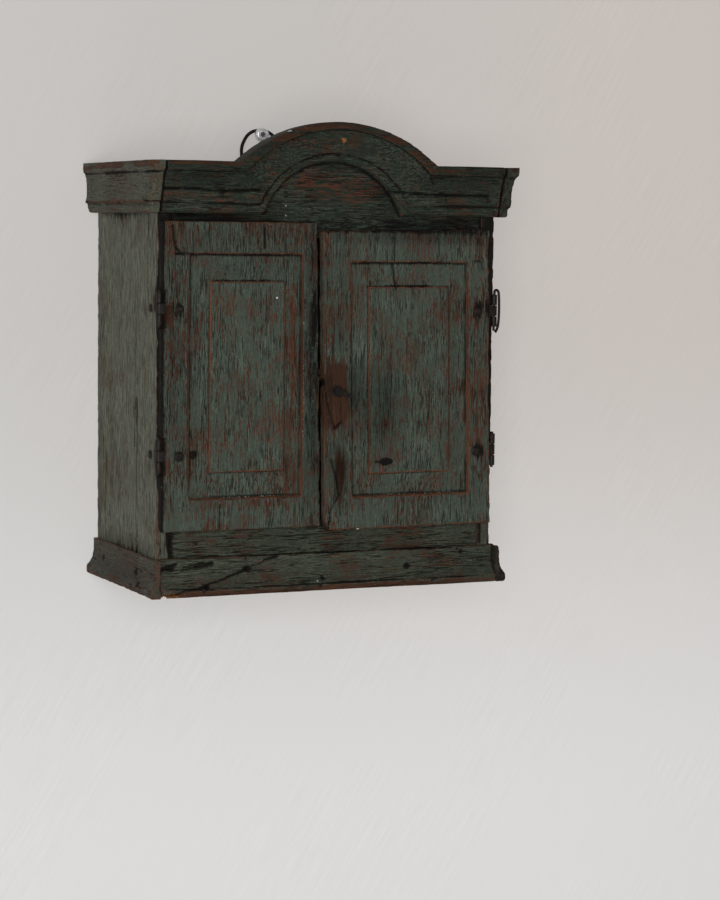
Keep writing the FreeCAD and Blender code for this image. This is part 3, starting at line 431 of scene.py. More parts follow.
def makePaintGroup():
    inputs = {**grainInputs, "Green": "Color", "Deep Green": "Color", "Red Wear": "Float", "Dirt": "Float",
              "Edge Wear": "Float", "Lines": "Float", **{name: "Float" for name in paintMasks}}
    outputs = {"Colour": "Color", "Roughness": "Float", "Height": "Float"}
    tree, desk, given, result = newTree("oldPaint", "ShaderNodeTree", inputs, outputs)
    colours, blend = paintColours, desk.blend

    def grain(shift):
        values = {name: given[name] for name in ("Place", "Stretch", "Flake")}
        values["Seed"] = desk.add(given["Seed"], shift)
        return desk.put("ShaderNodeGroup", values, node_tree=trees["grain"]).outputs

    def past(value, name):
        return desk.between(value, *paintLimits[name])

    def band(value, start, end):
        return desk.times(past(value, start), desk.below(value, *paintLimits[end]))

    def cover(name, mask, under, tone):
        return desk.mix(desk.times(mask, paintShares[name]), under, tone)

    def frayed(mask, *parts):
        # Noise about zero breaks up the border of a mask
        return desk.add(mask, blend(*[(desk.centred(value), share) for value, share in parts]))

    def nearOutline(mask, name):
        away = desk.maths("ABSOLUTE", desk.maths("SUBTRACT", given[mask], panelLine))
        return desk.below(away, *paintLimits[name])

    first, second = grain(0.0), grain(secondSeed)
    tone = blend((first["Fibre"], 0.3), (second["Patch"], 0.25), (second["Streak"], 0.25),
                 (second["Speck"], 0.2))
    colour = desk.mix(past(tone, "tone"), given["Deep Green"], given["Green"])

    wear = blend((first["Fibre"], 0.58), (first["Streak"], 0.2), (first["Patch"], 0.22), (given["Rub"], 0.3),
                 (desk.times(given["Edge"], given["Edge Wear"]), 0.2))
    red = past(desk.add(wear, given["Red Wear"]), "red")
    redTone = desk.mix(second["Streak"], colours["redDark"], colours["red"])
    colour = cover("red", red, colour, redTone)
    redLine = desk.times(second["Line"], past(desk.add(first["Patch"], given["Red Wear"]), "redLine"))
    colour = cover("redLine", desk.times(redLine, given["Lines"]), colour, redTone)

    # Dirt follows the grain and gathers in the hollows; the share from the cavity mask is partly dirt and
    # partly painted shade
    dirtAndShade = blend((second["Fibre"], 0.58), (second["Streak"], 0.22), (second["Patch"], 0.2),
                 (given["Cavity"], 0.55), (given["Soot"], 0.12))
    dirtAndShade = past(desk.add(dirtAndShade, given["Dirt"]), "dirtAndShade")
    colour = cover("dirtAndShade", dirtAndShade, colour, colours["grimeAndShade"])
    lines = past(blend((second["Patch"], 0.5), (second["Streak"], 0.5)), "darkLine")
    lines = desk.times(first["Line"], lines)
    colour = desk.mix(desk.times(lines, given["Lines"]), colour, colours["grimeAndShade"])

    rim = frayed(given["Edge"], (first["Streak"], 0.5), (second["Patch"], 0.8), (second["Speck"], 0.3))
    rimTone = blend((second["Speck"], 0.4), (first["Streak"], 0.6))
    rimTone = desk.mix(rimTone, colours["redDark"], colours["edgeWood"])
    colour = desk.mix(desk.times(past(rim, "rim"), given["Edge Wear"]), colour, rimTone)

    # Panel outlines: bare wood on the line, painted shade in the hollow beside it
    line = desk.maths("MAXIMUM", nearOutline("Field", "fieldLine"), nearOutline("Sunk", "sunkLine"))
    broken = past(blend((first["Patch"], 0.6), (second["Fibre"], 0.4)), "broken")
    colour = cover("outline", desk.times(line, broken), colour, rimTone)
    panelShade = blend((band(given["Sunk"], "sunkStart", "sunkEnd"), 0.7),
                    (band(given["Field"], "grooveStart", "grooveEnd"), 0.7))
    colour = cover("shade", desk.times(panelShade, past(second["Patch"], "shade")), colour, colours["grimeAndShade"])

    bare = frayed(given["Bare"], (first["Streak"], 0.5), (second["Patch"], 0.3), (second["Fibre"], 0.2))
    bare = desk.times(past(bare, "bare"), past(given["Bare"], "bareRoom"))
    bareTone = blend((first["Streak"], 0.6), (second["Fibre"], 0.4))
    colour = desk.mix(bare, colour, desk.mix(bareTone, colours["bareDark"], colours["bareWood"]))

    # Dim darkens the colour: in most patches it is painted shade, in a few it is darker paint
    left = desk.plus(desk.times(given["Dim"], desk.plus(second["Streak"], 0.6, 0.5)), 1.0, -0.6)
    colour = desk.tinted(colour, left, left, left)

    # Soot patches darken to near black: real stains at nails, knots and hinges, and painted shade in gaps,
    # under the mouldings and along the panel tops
    soot = frayed(given["Soot"], (second["Streak"], 0.5), (first["Patch"], 0.6), (second["Fibre"], 0.35))
    soot = desk.times(past(soot, "soot"), past(given["Soot"], "sootAndShadeRoom"))
    colour = cover("soot", soot, colour, colours["grimeAndShade"])

    fleck = desk.times(past(first["Speck"], "speck"), past(second["Patch"], "speckRoom"))
    colour = cover("fleck", fleck, colour, colours["fleck"])
    # Fleck patches paint pale splashes, and painted highlights along some panel edges
    for mask, share, name in (("Fleck", 0.6, "splashAndHighlight"), ("Fresh", 0.5, "fresh")):
        colour = desk.mix(past(frayed(given[mask], (second["Speck"], share)), name), colour, colours[name])
    pine = desk.mix(first["Streak"], colours["innerDark"], colours["inner"])
    colour = desk.mix(given["Inside"], colour, pine)
    desk.feed(result["Colour"], cover("crack", given["Crack"], colour, colours["grimeAndShade"]))

    rough = blend((dirtAndShade, 0.15), (red, 0.1), (desk.centred(first["Patch"]), 0.12))
    desk.feed(result["Roughness"], desk.add(0.66, rough))
    height = blend((first["Fibre"], 0.6), (first["Speck"], 0.2), (red, -0.35), (dirtAndShade, -0.4),
                   (given["Crack"], -1.0), (bare, -0.3), (lines, -0.5))
    desk.feed(result["Height"], height)
    return tree


def newMaterial(name):
    material = bpy.data.materials.new(name)
    material.use_nodes = True
    desk = Desk(material.node_tree)
    shader = next(node for node in desk.tree.nodes if node.type == "BSDF_PRINCIPLED")
    place = desk.put("ShaderNodeTexCoord").outputs["Object"]
    return material, desk, shader, place


def surface(desk, shader, values, height, depth, strength):
    bump = desk.put("ShaderNodeBump", {"Strength": strength, "Distance": depth * mm, "Height": height})
    for label, value in {**values, "Normal": bump.outputs[0]}.items():
        desk.feed(shader.inputs[label], value)


def readMask(desk, name):
    return desk.put("ShaderNodeAttribute", attribute_name=name).outputs["Fac"]


paintLooks = {
    "doorPaint": {
        "Stretch": upGrain, "Flake": 130.0, "Seed": 2.0, "Lines": 0.7, "Green": (0.074, 0.095, 0.075),
        "Deep Green": (0.042, 0.054, 0.0425), "Red Wear": 0.03, "Dirt": 0.01, "Edge Wear": 0.8},
    # The sides' paint is lighter than the doors': partly paler paint, partly painted light on the sides
    "sidePaint": {
        "Stretch": upGrain, "Flake": 55.0, "Seed": 17.0, "Lines": 0.66, "Green": (0.15, 0.156, 0.119),
        "Deep Green": (0.074, 0.077, 0.0585), "Red Wear": -0.12, "Dirt": 0.06, "Edge Wear": 0.5},
    "cornicePaint": {
        "Stretch": sideGrain, "Flake": 200.0, "Seed": 41.0, "Lines": 0.85, "Green": (0.042, 0.0543, 0.0402),
        "Deep Green": (0.015, 0.019, 0.014), "Red Wear": -0.07, "Dirt": 0.06, "Edge Wear": 0.7},
    "returnPaint": {
        "Stretch": depthGrain, "Flake": 200.0, "Seed": 57.0, "Lines": 0.6, "Green": (0.088, 0.094, 0.069),
        "Deep Green": (0.05, 0.051, 0.038), "Red Wear": -0.1, "Dirt": 0.0, "Edge Wear": 0.25},
    "basePaint": {
        "Stretch": sideGrain, "Flake": 200.0, "Seed": 73.0, "Lines": 0.82, "Green": (0.0645, 0.0735, 0.0542),
        "Deep Green": (0.034, 0.0385, 0.028), "Red Wear": -0.03, "Dirt": 0.03, "Edge Wear": 0.5},
    "plinthPaint": {
        "Stretch": depthGrain, "Flake": 200.0, "Seed": 88.0, "Lines": 0.5, "Green": (0.075, 0.0735, 0.057),
        "Deep Green": (0.042, 0.038, 0.03), "Red Wear": -0.03, "Dirt": 0.03, "Edge Wear": 0.4}}
paintSheen, paintBump = 0.06, (0.5, 0.6)


def makePaint(name):
    material, desk, shader, place = newMaterial(name)
    given = {"Place": place, **paintLooks[name]}
    given.update({label: readMask(desk, label.lower()) for label in paintMasks})
    paint = desk.put("ShaderNodeGroup", given, node_tree=trees["paint"]).outputs
    values = {"Base Color": paint["Colour"], "Roughness": paint["Roughness"],
              "Specular IOR Level": paintSheen}
    surface(desk, shader, values, paint["Height"], *paintBump)
    return material


pineLook = {"light": (0.14, 0.09, 0.055), "dark": (0.058, 0.036, 0.023), "flake": 40.0, "seed": 5.0,
            "grimeAndShade": 0.7, "rough": (0.72, 0.3), "bump": (0.5, 0.5)}
pineWays = {"pineAcross": sideGrain, "pineUp": upGrain, "pineDeep": depthGrain}
grainWays = {"iron": upGrain, **pineWays, **{name: look["Stretch"] for name, look in paintLooks.items()}}


def makePine(name):
    look = pineLook
    material, desk, shader, place = newMaterial(name)
    grain = desk.put("ShaderNodeGroup", {"Place": place, "Stretch": pineWays[name], "Flake": look["flake"],
                                         "Seed": look["seed"]}, node_tree=trees["grain"]).outputs
    tone = desk.blend((grain["Streak"], 0.6), (grain["Patch"], 0.4))
    colour = desk.mix(tone, look["dark"], look["light"])
    # The hollows of the bare wood are darkened: partly grime, partly painted shade
    colour = desk.mix(desk.times(readMask(desk, "cavity"), look["grimeAndShade"]), colour, paintColours["grimeAndShade"])
    rough = desk.plus(desk.centred(grain["Fibre"]), *look["rough"])
    surface(desk, shader, {"Base Color": colour, "Roughness": rough}, grain["Fibre"], *look["bump"])
    return material


# Clouds are given as scale, seed and detail
ironLook = {"dark": (0.007, 0.006, 0.0055), "rust": (0.026, 0.0125, 0.008), "metallic": 0.2, "sheen": 0.2,
            "coarse": (300.0, 1.0, 5.0), "fine": (1500.0, 4.0, 3.0), "rusted": (0.46, 0.66),
            "rough": (0.5, 0.35), "bump": (0.25, 0.6)}


def makeIron():
    look = ironLook
    material, desk, shader, place = newMaterial("oldIron")
    coarse, fine = (desk.noise(place, *look[name]) for name in ("coarse", "fine"))
    rust = desk.between(desk.blend((coarse, 0.7), (fine, 0.3)), *look["rusted"])
    values = {"Base Color": desk.mix(rust, look["dark"], look["rust"]), "Metallic": look["metallic"],
              "Roughness": desk.plus(rust, *look["rough"]), "Specular IOR Level": look["sheen"]}
    surface(desk, shader, values, desk.plus(fine, coarse, 0.5), *look["bump"])
    return material


zincLook = {"bright": (0.88, 0.89, 0.88), "dull": (0.6, 0.61, 0.61), "recess": (0.13, 0.135, 0.14),
            "recessDepth": (-11.5, -11.0), "recessHalf": 2.9, "headBack": -8.5, "cloud": (700.0, 2.0, 3.0),
            "mottled": (0.38, 0.62), "rough": (0.3, 0.15), "metallic": 0.6, "bump": (0.05, 0.3)}


def makeZinc():
    look = zincLook
    material, desk, shader, place = newMaterial("zincPlate")
    cloud = desk.between(desk.noise(place, *look["cloud"]), *look["mottled"])
    colour = desk.mix(cloud, look["dull"], look["bright"])
    axes = desk.put("ShaderNodeSeparateXYZ", {0: place}).outputs
    away = desk.add(desk.times(axes["X"], axes["X"]), desk.times(axes["Z"], axes["Z"]))
    middle = desk.maths("LESS_THAN", away, (look["recessHalf"] * mm) ** 2)
    middle = desk.times(middle, desk.maths("LESS_THAN", axes["Y"], look["headBack"] * mm))
    sunk = desk.between(axes["Y"], *[depth * mm for depth in look["recessDepth"]])
    # The screw head's recess is painted dark: painted shade
    values = {"Base Color": desk.mix(desk.times(sunk, middle), colour, look["recess"]),
              "Roughness": desk.plus(cloud, *look["rough"]), "Metallic": look["metallic"]}
    surface(desk, shader, values, cloud, *look["bump"])
    return material


# Cord: up out of the ceiling holes and over the screw
cordLook = {"thickness": 2.9, "length": 141.3, "sides": 5,
            "leftHalf": [(-19.5, -14.0, -54.9), (-20.1, -14.0, -37.9), (-19.7, -12.0, -20.9),
                         (-18.6, -7.2, -9.5), (-9.0, -4.6, 3.85)],
            "dark": (0.004, 0.004, 0.004), "light": (0.012, 0.0115, 0.011), "cloud": (900.0, 3.0, 3.0),
            "rough": (0.45, 0.25), "sheen": 0.15, "bump": (0.15, 0.4)}


def makeCordSkin():
    look = cordLook
    material, desk, shader, place = newMaterial("blackCord")
    cloud = desk.noise(place, *look["cloud"])
    values = {"Base Color": desk.mix(cloud, look["dark"], look["light"]), "Specular IOR Level": look["sheen"],
              "Roughness": desk.plus(cloud, *look["rough"])}
    surface(desk, shader, values, cloud, *look["bump"])
    return material


def tube(name, route, radius, sides):
    data = bpy.data.curves.new(name, "CURVE")
    data.dimensions = "3D"
    data.bevel_depth = radius
    data.bevel_resolution = sides
    data.resolution_u = 12
    data.use_fill_caps = True
    spline = data.splines.new("NURBS")
    spline.points.add(len(route) - 1)
    for point, place in zip(spline.points, route):
        point.co = (*place, 1.0)
    spline.order_u = 3
    spline.use_endpoint_u = True
    return data


def makeCord():
    left = [Vector(point) * mm for point in cordLook["leftHalf"]]
    route = left + [Vector((-point.x, point.y, point.z)) for point in reversed(left)]
    data = tube("hangingCord", route, cordLook["thickness"] / 2 * mm, cordLook["sides"])
    data.materials.append(finishes["cord"])
    cord = newObject("hanging_cord_laid", data)
    handOver(cord, "carcass", "hanging_cord")
    print("cord laid")


# Stage: a plastered wall behind, a pale floor below and soft light
wallLook = {"low": (0.735, 0.73, 0.72), "high": (0.6, 0.572, 0.55), "upwardShade": (-0.64, -0.12), "gap": 0.6,
            "strokes": 0.16, "strokeTurn": (0.0, 0.55, 0.0), "strokeSize": (0.0028, 1.0, 0.05),
            "strokeCloud": (1.0, 3.0, 4.0), "cloud": (7.0, 6.0, 5.0), "brushed": (0.4, 0.6), "reach": 0.35,
            "rightwardLight": 0.08, "warmth": (0.04, -0.05, -0.085), "rough": 0.9, "bump": (1.2, 0.25),
            "glow": 0.95, "faintShadow": 0.55}
stageLook = {"far": 4.0, "top": 3.0, "floor": -1.5, "floorColour": (0.7, 0.69, 0.67), "floorRough": 0.8,
             "roomColour": (1.0, 0.985, 0.965), "room": 0.26, "aim": (0.0, -80.0, 180.0)}
lampLook = {"front": {"power": 47.0, "place": (-900.0, -2450.0, 280.0), "size": 1.0},
            "left": {"power": 6.0, "place": (-2200.0, -900.0, 0.0), "size": 1.8},
            "back": {"power": 32.0, "place": (300.0, 2200.0, 900.0), "size": 2.2}}


def makePlaster():
    look = wallLook
    material, desk, shader, place = newMaterial("plaster")
    axes = desk.put("ShaderNodeSeparateXYZ", {0: place}).outputs
    # The wall is painted darker towards the top and lighter towards the right: painted light falloff
    upwardShade = desk.between(axes["Z"], *look["upwardShade"])
    colour = desk.mix(upwardShade, look["low"], look["high"])
    turned = desk.put("ShaderNodeMapping", {"Vector": place, "Rotation": look["strokeTurn"],
                                            "Scale": look["strokeSize"]}, vector_type="TEXTURE")
    strokes = desk.noise(turned.outputs[0], *look["strokeCloud"])
    cloud = desk.noise(place, *look["cloud"])
    brushed = desk.times(desk.between(cloud, *look["brushed"]), look["strokes"])
    across = desk.maths("MAXIMUM", desk.maths("MINIMUM", axes["X"], look["reach"]), -look["reach"])
    level = desk.add(1.0, desk.times(desk.centred(strokes), brushed), desk.times(across, look["rightwardLight"]))
    warmth = desk.times(across, upwardShade)
    colour = desk.tinted(colour, *[desk.plus(warmth, level, warm) for warm in look["warmth"]])
    surface(desk, shader, {"Base Color": colour, "Roughness": look["rough"]},
            desk.plus(strokes, cloud, 0.5), *look["bump"])

    # The wall glows a little for the eye, so that the shadow on it stays faint, and is clear from behind
    glow = desk.put("ShaderNodeEmission", {"Color": colour, "Strength": look["glow"]})
    rays = desk.put("ShaderNodeLightPath").outputs
    seen = desk.maths("MAXIMUM", rays["Is Camera Ray"], rays["Is Glossy Ray"])
    seen = desk.maths("MAXIMUM", seen, rays["Is Transmission Ray"])
    front = desk.put("ShaderNodeMixShader", {0: desk.times(seen, look["faintShadow"]), 1: shader.outputs[0],
                                             2: glow.outputs[0]})
    behind = desk.put("ShaderNodeNewGeometry").outputs["Backfacing"]
    clear = desk.put("ShaderNodeBsdfTransparent")
    choose = desk.put("ShaderNodeMixShader", {0: behind, 1: front.outputs[0], 2: clear.outputs[0]})
    output = next(node for node in desk.tree.nodes if node.type == "OUTPUT_MATERIAL")
    desk.feed(output.inputs["Surface"], choose.outputs[0])
    return material


def sheet(name, corners, material):
    mesh = bpy.data.meshes.new(name)
    mesh.from_pydata(corners, [], [(0, 1, 2, 3)])
    mesh.materials.append(material)
    return newObject(name, mesh)


def makeStage():
    far, top, low = (stageLook[name] for name in ("far", "top", "floor"))
    y = wallLook["gap"] * mm
    upright = [(-far, y, low), (far, y, low), (far, y, top), (-far, y, top)]
    wall = sheet("plasterWall", upright, makePlaster())
    wall.visible_shadow = False
    material, desk, shader, place = newMaterial("paleFloor")
    desk.feed(shader.inputs["Base Color"], stageLook["floorColour"])
    desk.feed(shader.inputs["Roughness"], stageLook["floorRough"])
    flat = [(-far, -far, low), (far, -far, low), (far, far, low), (-far, far, low)]
    floor = sheet("paleFloor", flat, material)

    scene = bpy.context.scene
    world = bpy.data.worlds.new("roomLight")
    world.use_nodes = True
    background = next(node for node in world.node_tree.nodes if node.type == "BACKGROUND")
    background.inputs["Color"].default_value = (*stageLook["roomColour"], 1.0)
    background.inputs["Strength"].default_value = stageLook["room"]
    scene.world = world
    for name, look in lampLook.items():
        data = bpy.data.lights.new(name + "Lamp", "AREA")
        data.size = look["size"]
        data.energy = look["power"]
        lamp = newObject(name + "Lamp", data)
        lamp.location = spot(*look["place"])
        aim = spot(*stageLook["aim"]) - lamp.location
        lamp.rotation_euler = aim.to_track_quat("-Z", "Y").to_euler()
    scene.view_settings.view_transform = "Standard"
    print("stage lit")


# Case boards
bothSides = {"left": -1, "right": 1}
sideLook = {"finish": "sidePaint", "cell": 1.2, "wave": 0.9, "grain": 0.4, "chip": 1.2, "seed": 3.0,
            "crackWidth": 2.0, "crackDepth": 1.8, "flat": sideFlat}
leftSideCracks = [
    [(-129.6, 309), (-128.9, 291), (-127.7, 270), (-129.2, 252), (-130.5, 237)],
    [(-104.3, 176), (-103.4, 150), (-103.9, 127), (-102.4, 98), (-103.6, 74), (-104.2, 52), (-105.7, 28)],
    [(-98, 196), (-98.6, 160), (-97, 118)], [(-24, 104), (-23.4, 82), (-22, 58)]]
# The soot strip down each side's front edge, in the gap beside the doors, and the band under the cornice are
# painted shade
sidePatches = [
    (150, 10, oval, ("soot", -153, 232, 9, 26, 0.9), ("soot", -153, 114, 9, 30, 0.9)),
    (144, 16, square, ("soot", -155, 186, 3.2, 97, 2.6), ("soot", -155, 312, 3.2, 14, 2.6)),
    (150, 20, oval, ("soot", -75, 308, 90, 5, 0.6), ("soot", -75, 31, 90, 4, 0.4),
     ("dim", -75, 34, 90, 9, 0.6)),
    (145, 14, square, ("dim", -155, 42, 3, 14, 1.2)),
    (139.5, 2.5, square, ("soot", -155, 42, 4, 16, 1.2), ("soot", -155, 305, 4, 16, 1.2))]

# The hinge leaves' thin pockets are filled before a board's surface is evened: heights, half height,
# and the place of the pocket across and in depth
leafPockets = {"left": (232.0, 114.0), "right": (229.5, 112.0), "half": 15.0,
               "side": ((145.0, 149.0), (-152.6, -131.0)), "door": ((120.5, 143.0), (-160.4, -157.0))}


def pocketFills(board, side, sign):
    across, (front, back) = leafPockets[board]
    low, high = sorted(edge * sign for edge in across)
    half = leafPockets["half"]
    return [((low, front, height - half), (high, back, height + half)) for height in leafPockets[side]]


def makeSides():
    for side, sign in bothSides.items():
        weathered(f"side_{side}", sideLook, cracks=leftSideCracks if sign < 0 else [],
                  patches=onSide(sidePatches, sign), inside=(-sign, 0.0, 0.0),
                  fillers=pocketFills("side", side, sign))
    print("sides worn")


innerLook = {"finish": "pineAcross", "cell": 2.2, "wave": 1.2, "grain": 0.6, "chip": 1.5, "seed": 9.0}
cleatLook = dict(innerLook, finish="pineDeep", cell=1.2, seed=20.0)
plankLook = {"finish": "pineUp", "cell": 2.2, "wave": 1.4, "grain": 0.7, "chip": 2.0, "seed": 12.0}


def makeInside():
    for look, nodes in ((innerLook, ("top_board", "bottom_board", "shelf")),
                        (cleatLook, ("shelf_cleat_left", "shelf_cleat_right")),
                        (plankLook, ("back_plank_left", "back_plank_middle", "back_plank_right"))):
        for number, node in enumerate(nodes):
            weathered(node, dict(look, seed=look["seed"] + number))
    print("inside boards worn")


corniceLook = {"finish": "cornicePaint", "cell": 1.0, "wave": 1.2, "grain": 0.9, "chip": 1.6, "seed": 33.0,
               "crackWidth": 1.3, "crackDepth": 2.4}
corniceCracks = [[(-150, 327.4), (-119.2, 327.1), (-100.6, 325.8), (-66.3, 327.2)],
                 [(49.5, 327.5), (92.5, 325.7), (138.9, 325.6)], [(82, 340), (87, 334)]]
filletBand, filletFoot, beadTop, beadFoot = -175.0, -171.6, -162.2, -154.2
everywhere = (0.0, 340.0, 900.0, 900.0)
# The soot lines at the fillet's foot and on both edges of the bead are painted shade at the moulding's steps
cornicePatches = [
    (filletBand, 1.9, square, ("bare", *everywhere, 0.52), ("dim", *everywhere, 0.8)),
    (filletFoot, 0.8, square, ("soot", *everywhere, 1)), (beadTop, 0.5, square, ("soot", *everywhere, 1)),
    (beadFoot, 1.3, square, ("soot", *everywhere, 1)),
    (-174, 6, oval, ("fleck", -51.8, 373.5, 1.4, 1, 1.6), ("fleck", -46.4, 375, 3, 1, 1.6)),
    (-165, 12, oval, ("soot", -100.6, 325.8, 4, 3.4, 1)),
    (-170, 12, oval, ("soot", 1.7, 356.5, 2.6, 2.2, 2.2)),
    (-169, 12, oval, ("fresh", 5.1, 368.7, 3.4, 2.8, 0.8)),
    (-166, 30, square, ("soot", -150, 329, 0.9, 60, 2.6)),
    (-165, 14, square, ("rub", -115, 321, 34, 5, 0.62), ("rub", 95, 318, 40, 4, 0.6)),
    (-166, 14, boxy, ("rub", -14, 364, 26, 6, 0.75)),
    (-168, 14, square, ("dim", -112, 336, 42, 8, 0.8), ("dim", 110, 336, 38, 8, 0.7))]
returnLook = {"finish": "returnPaint", "cell": 1.0, "wave": 1.2, "grain": 0.6, "chip": 1.4, "seed": 38.0,
              "crackWidth": 1.1, "crackDepth": 1.4, "flat": sideFlat}
leftReturnCracks = [[(-24, 332), (-23, 327)], [(-88, 317), (-88.5, 313)],
                    [(-150, 318), (-168, 316.5)]]
# The soot line below the fillet is painted shade at the moulding's step
returnPatches = [
    (162, 12, square, ("soot", -80, 340.4, 200, 1.1, 1), ("bare", -85, 346.5, 200, 4.6, 0.62)),
    (150, 0.9, square, ("soot", -170, 329, 30, 60, 2.6)),
    (160, 12, square, ("rub", -85, 316.8, 200, 1.2, 1.6))]
rightReturnPatches = [(160, 16, square, ("dim", -165, 335, 14, 40, 1.3))]


def makeCornice():
    weathered("cornice_front", corniceLook, cracks=corniceCracks, patches=onFront(cornicePatches))
    for side, sign in bothSides.items():
        patches = returnPatches if sign < 0 else returnPatches + rightReturnPatches
        weathered(f"cornice_{side}", dict(returnLook, seed=returnLook["seed"] + sign),
                  cracks=leftReturnCracks if sign < 0 else [], patches=onSide(patches, sign))
    print("cornice worn")


baseLook = {"finish": "basePaint", "cell": 1.0, "wave": 1.2, "grain": 0.8, "chip": 1.6, "seed": 44.0,
            "crackWidth": 1.8, "crackDepth": 3.0}
baseCracks = [
    [(-148.5, 0.6), (-140, 2), (-133.2, 4.4), (-124, 7), (-112.7, 7.7), (-107, 11), (-101, 11.6),
     (-94.6, 13.8), (-84, 17), (-74.7, 20.2), (-66, 23.6), (-62.4, 23.4), (-58, 26.6), (-46.6, 29.2)],
    [(-147.6, 22.8), (-134.8, 26.2)], [(-130, 21.4), (-116, 23.6), (-104, 25.5)],
    [(-128, 23.4), (-112, 26.4)]]
basePatches = [
    (-160, 12, oval, ("soot", -8.9, 9.8, 3.2, 2.8, 1.3), ("soot", 69.4, 16.2, 3.4, 3.2, 1.3),
     ("soot", 120.6, 27.1, 3, 2.6, 1.1), ("soot", 92.8, 5.8, 5, 2.4, 0.9)),
    (-160, 10, oval, ("soot", -74.7, 20.6, 5, 3.4, 1.3), ("soot", -142, 23, 9, 2.6, 1.2)),
    (-165, 10, oval, ("soot", -112.7, 7.7, 4.5, 3, 1.3)),
    (-166, 10, oval, ("fresh", -142.5, 1.5, 8, 3, 0.8)),
    (-162, 8, oval, ("fleck", -13.6, 8.4, 1.6, 1.4, 0.7)),
    (-160, 12, square, ("dim", 117, 18, 40, 12, 0.5)),
    (-160, 20, square, ("soot", 0, 6.2, 170, 0.9, 0.8)),
    (-157, 20, square, ("soot", 0, 30.6, 170, 1, 0.8)),
    (-166.5, 20, square, ("bare", 0, 0.6, 170, 4.2, 1.05), ("rub", 0, 0.6, 170, 4.2, 0.6)),
    (-163, 20, boxy, ("rub", -98, 12.5, 26, 4, 0.7)),
    (-166, 20, oval, ("rub", -140, 1.5, 9, 3, 1.2))]
plinthLook = {"finish": "plinthPaint", "cell": 1.0, "wave": 1.2, "grain": 0.6, "chip": 1.6, "seed": 48.0,
              "crackWidth": 1.2, "crackDepth": 1.2, "flat": sideFlat}
plinthPatches = [
    (158, 12, oval, ("dim", -70, 12, 90, 8, 0.5), ("rub", -90, 1, 110, 3, 0.9)),
    (158, 14, oval, ("soot", -30.5, 17.3, 3.8, 3.2, 2), ("soot", -115.6, 15.8, 4, 3.4, 1.2),
     ("soot", -131.7, 8.1, 3, 2.4, 1))]
rightPlinthPatches = [(160, 16, square, ("dim", -162, 14, 12, 30, 1.3))]


def makeBase():
    weathered("base_front", baseLook, cracks=baseCracks, patches=onFront(basePatches))
    for side, sign in bothSides.items():
        patches = plinthPatches if sign < 0 else plinthPatches + rightPlinthPatches
        weathered(f"base_{side}", dict(plinthLook, seed=plinthLook["seed"] + sign),
                  patches=onSide(patches, sign))
    print("base worn")


towardsBack = (0.0, 1.0, 0.0)
caseFront = -153.0
friezeLook = {"finish": "cornicePaint", "cell": 1.2, "wave": 1.0, "grain": 0.7, "chip": 1.2, "seed": 25.0}
archMiddle, archRadius, archWidth, archFoot = 287.7, 63.8, 0.06, 0.32
# A ring of painted shade along the arch's inner edge
archShade = ("soot", (0, caseFront, archMiddle), (archRadius, 20, archRadius), 1, oval, archWidth, archFoot)
# The frieze lies under the cornice: its soot and dim along the foot, at the ends and under the arch's crown
# are painted shade
friezePatches = [
    (caseFront, 20, square, ("soot", -138.5, 305, 3.5, 16, 1.4), ("soot", 138.5, 305, 3.5, 16, 1.4),
     ("soot", 0, 300, 160, 8, 0.62), ("dim", -110, 305, 60, 16, 1.6),
     ("dim", 110, 305, 50, 16, 0.8)),
    (caseFront, 12, oval, ("dim", 0, 352, 50, 6, 0.9), ("dim", 48, 330, 12, 20, 0.8),
     ("rub", 2, 334, 58, 15, 0.95)),
    (caseFront, 6, oval, ("fleck", -40, 314.8, 2, 1.4, 0.47), ("fleck", -39.9, 307.5, 2, 1.4, 0.47))]
railLook = {"finish": "basePaint", "cell": 1.2, "wave": 0.8, "grain": 0.6, "chip": 1.0, "seed": 28.0}
# The rail sits back behind the doors: its dim and the soot band along its top are painted shade; the line at
# its foot is the joint with the base
railPatches = [
    (caseFront, 20, square, ("soot", -138.5, 42, 3.5, 16, 0.9), ("dim", 0, 42, 160, 12, 0.42)),
    (caseFront, 20, oval, ("soot", 0, 31, 160, 2.6, 0.45), ("soot", 0, 56, 160, 7, 0.7))]


def makeFriezeAndRail():
    weathered("frieze_board", friezeLook, patches=onFront(friezePatches) + [archShade], inside=towardsBack)
    weathered("lower_rail", railLook, patches=onFront(railPatches), inside=towardsBack)
    print("frieze and rail worn")


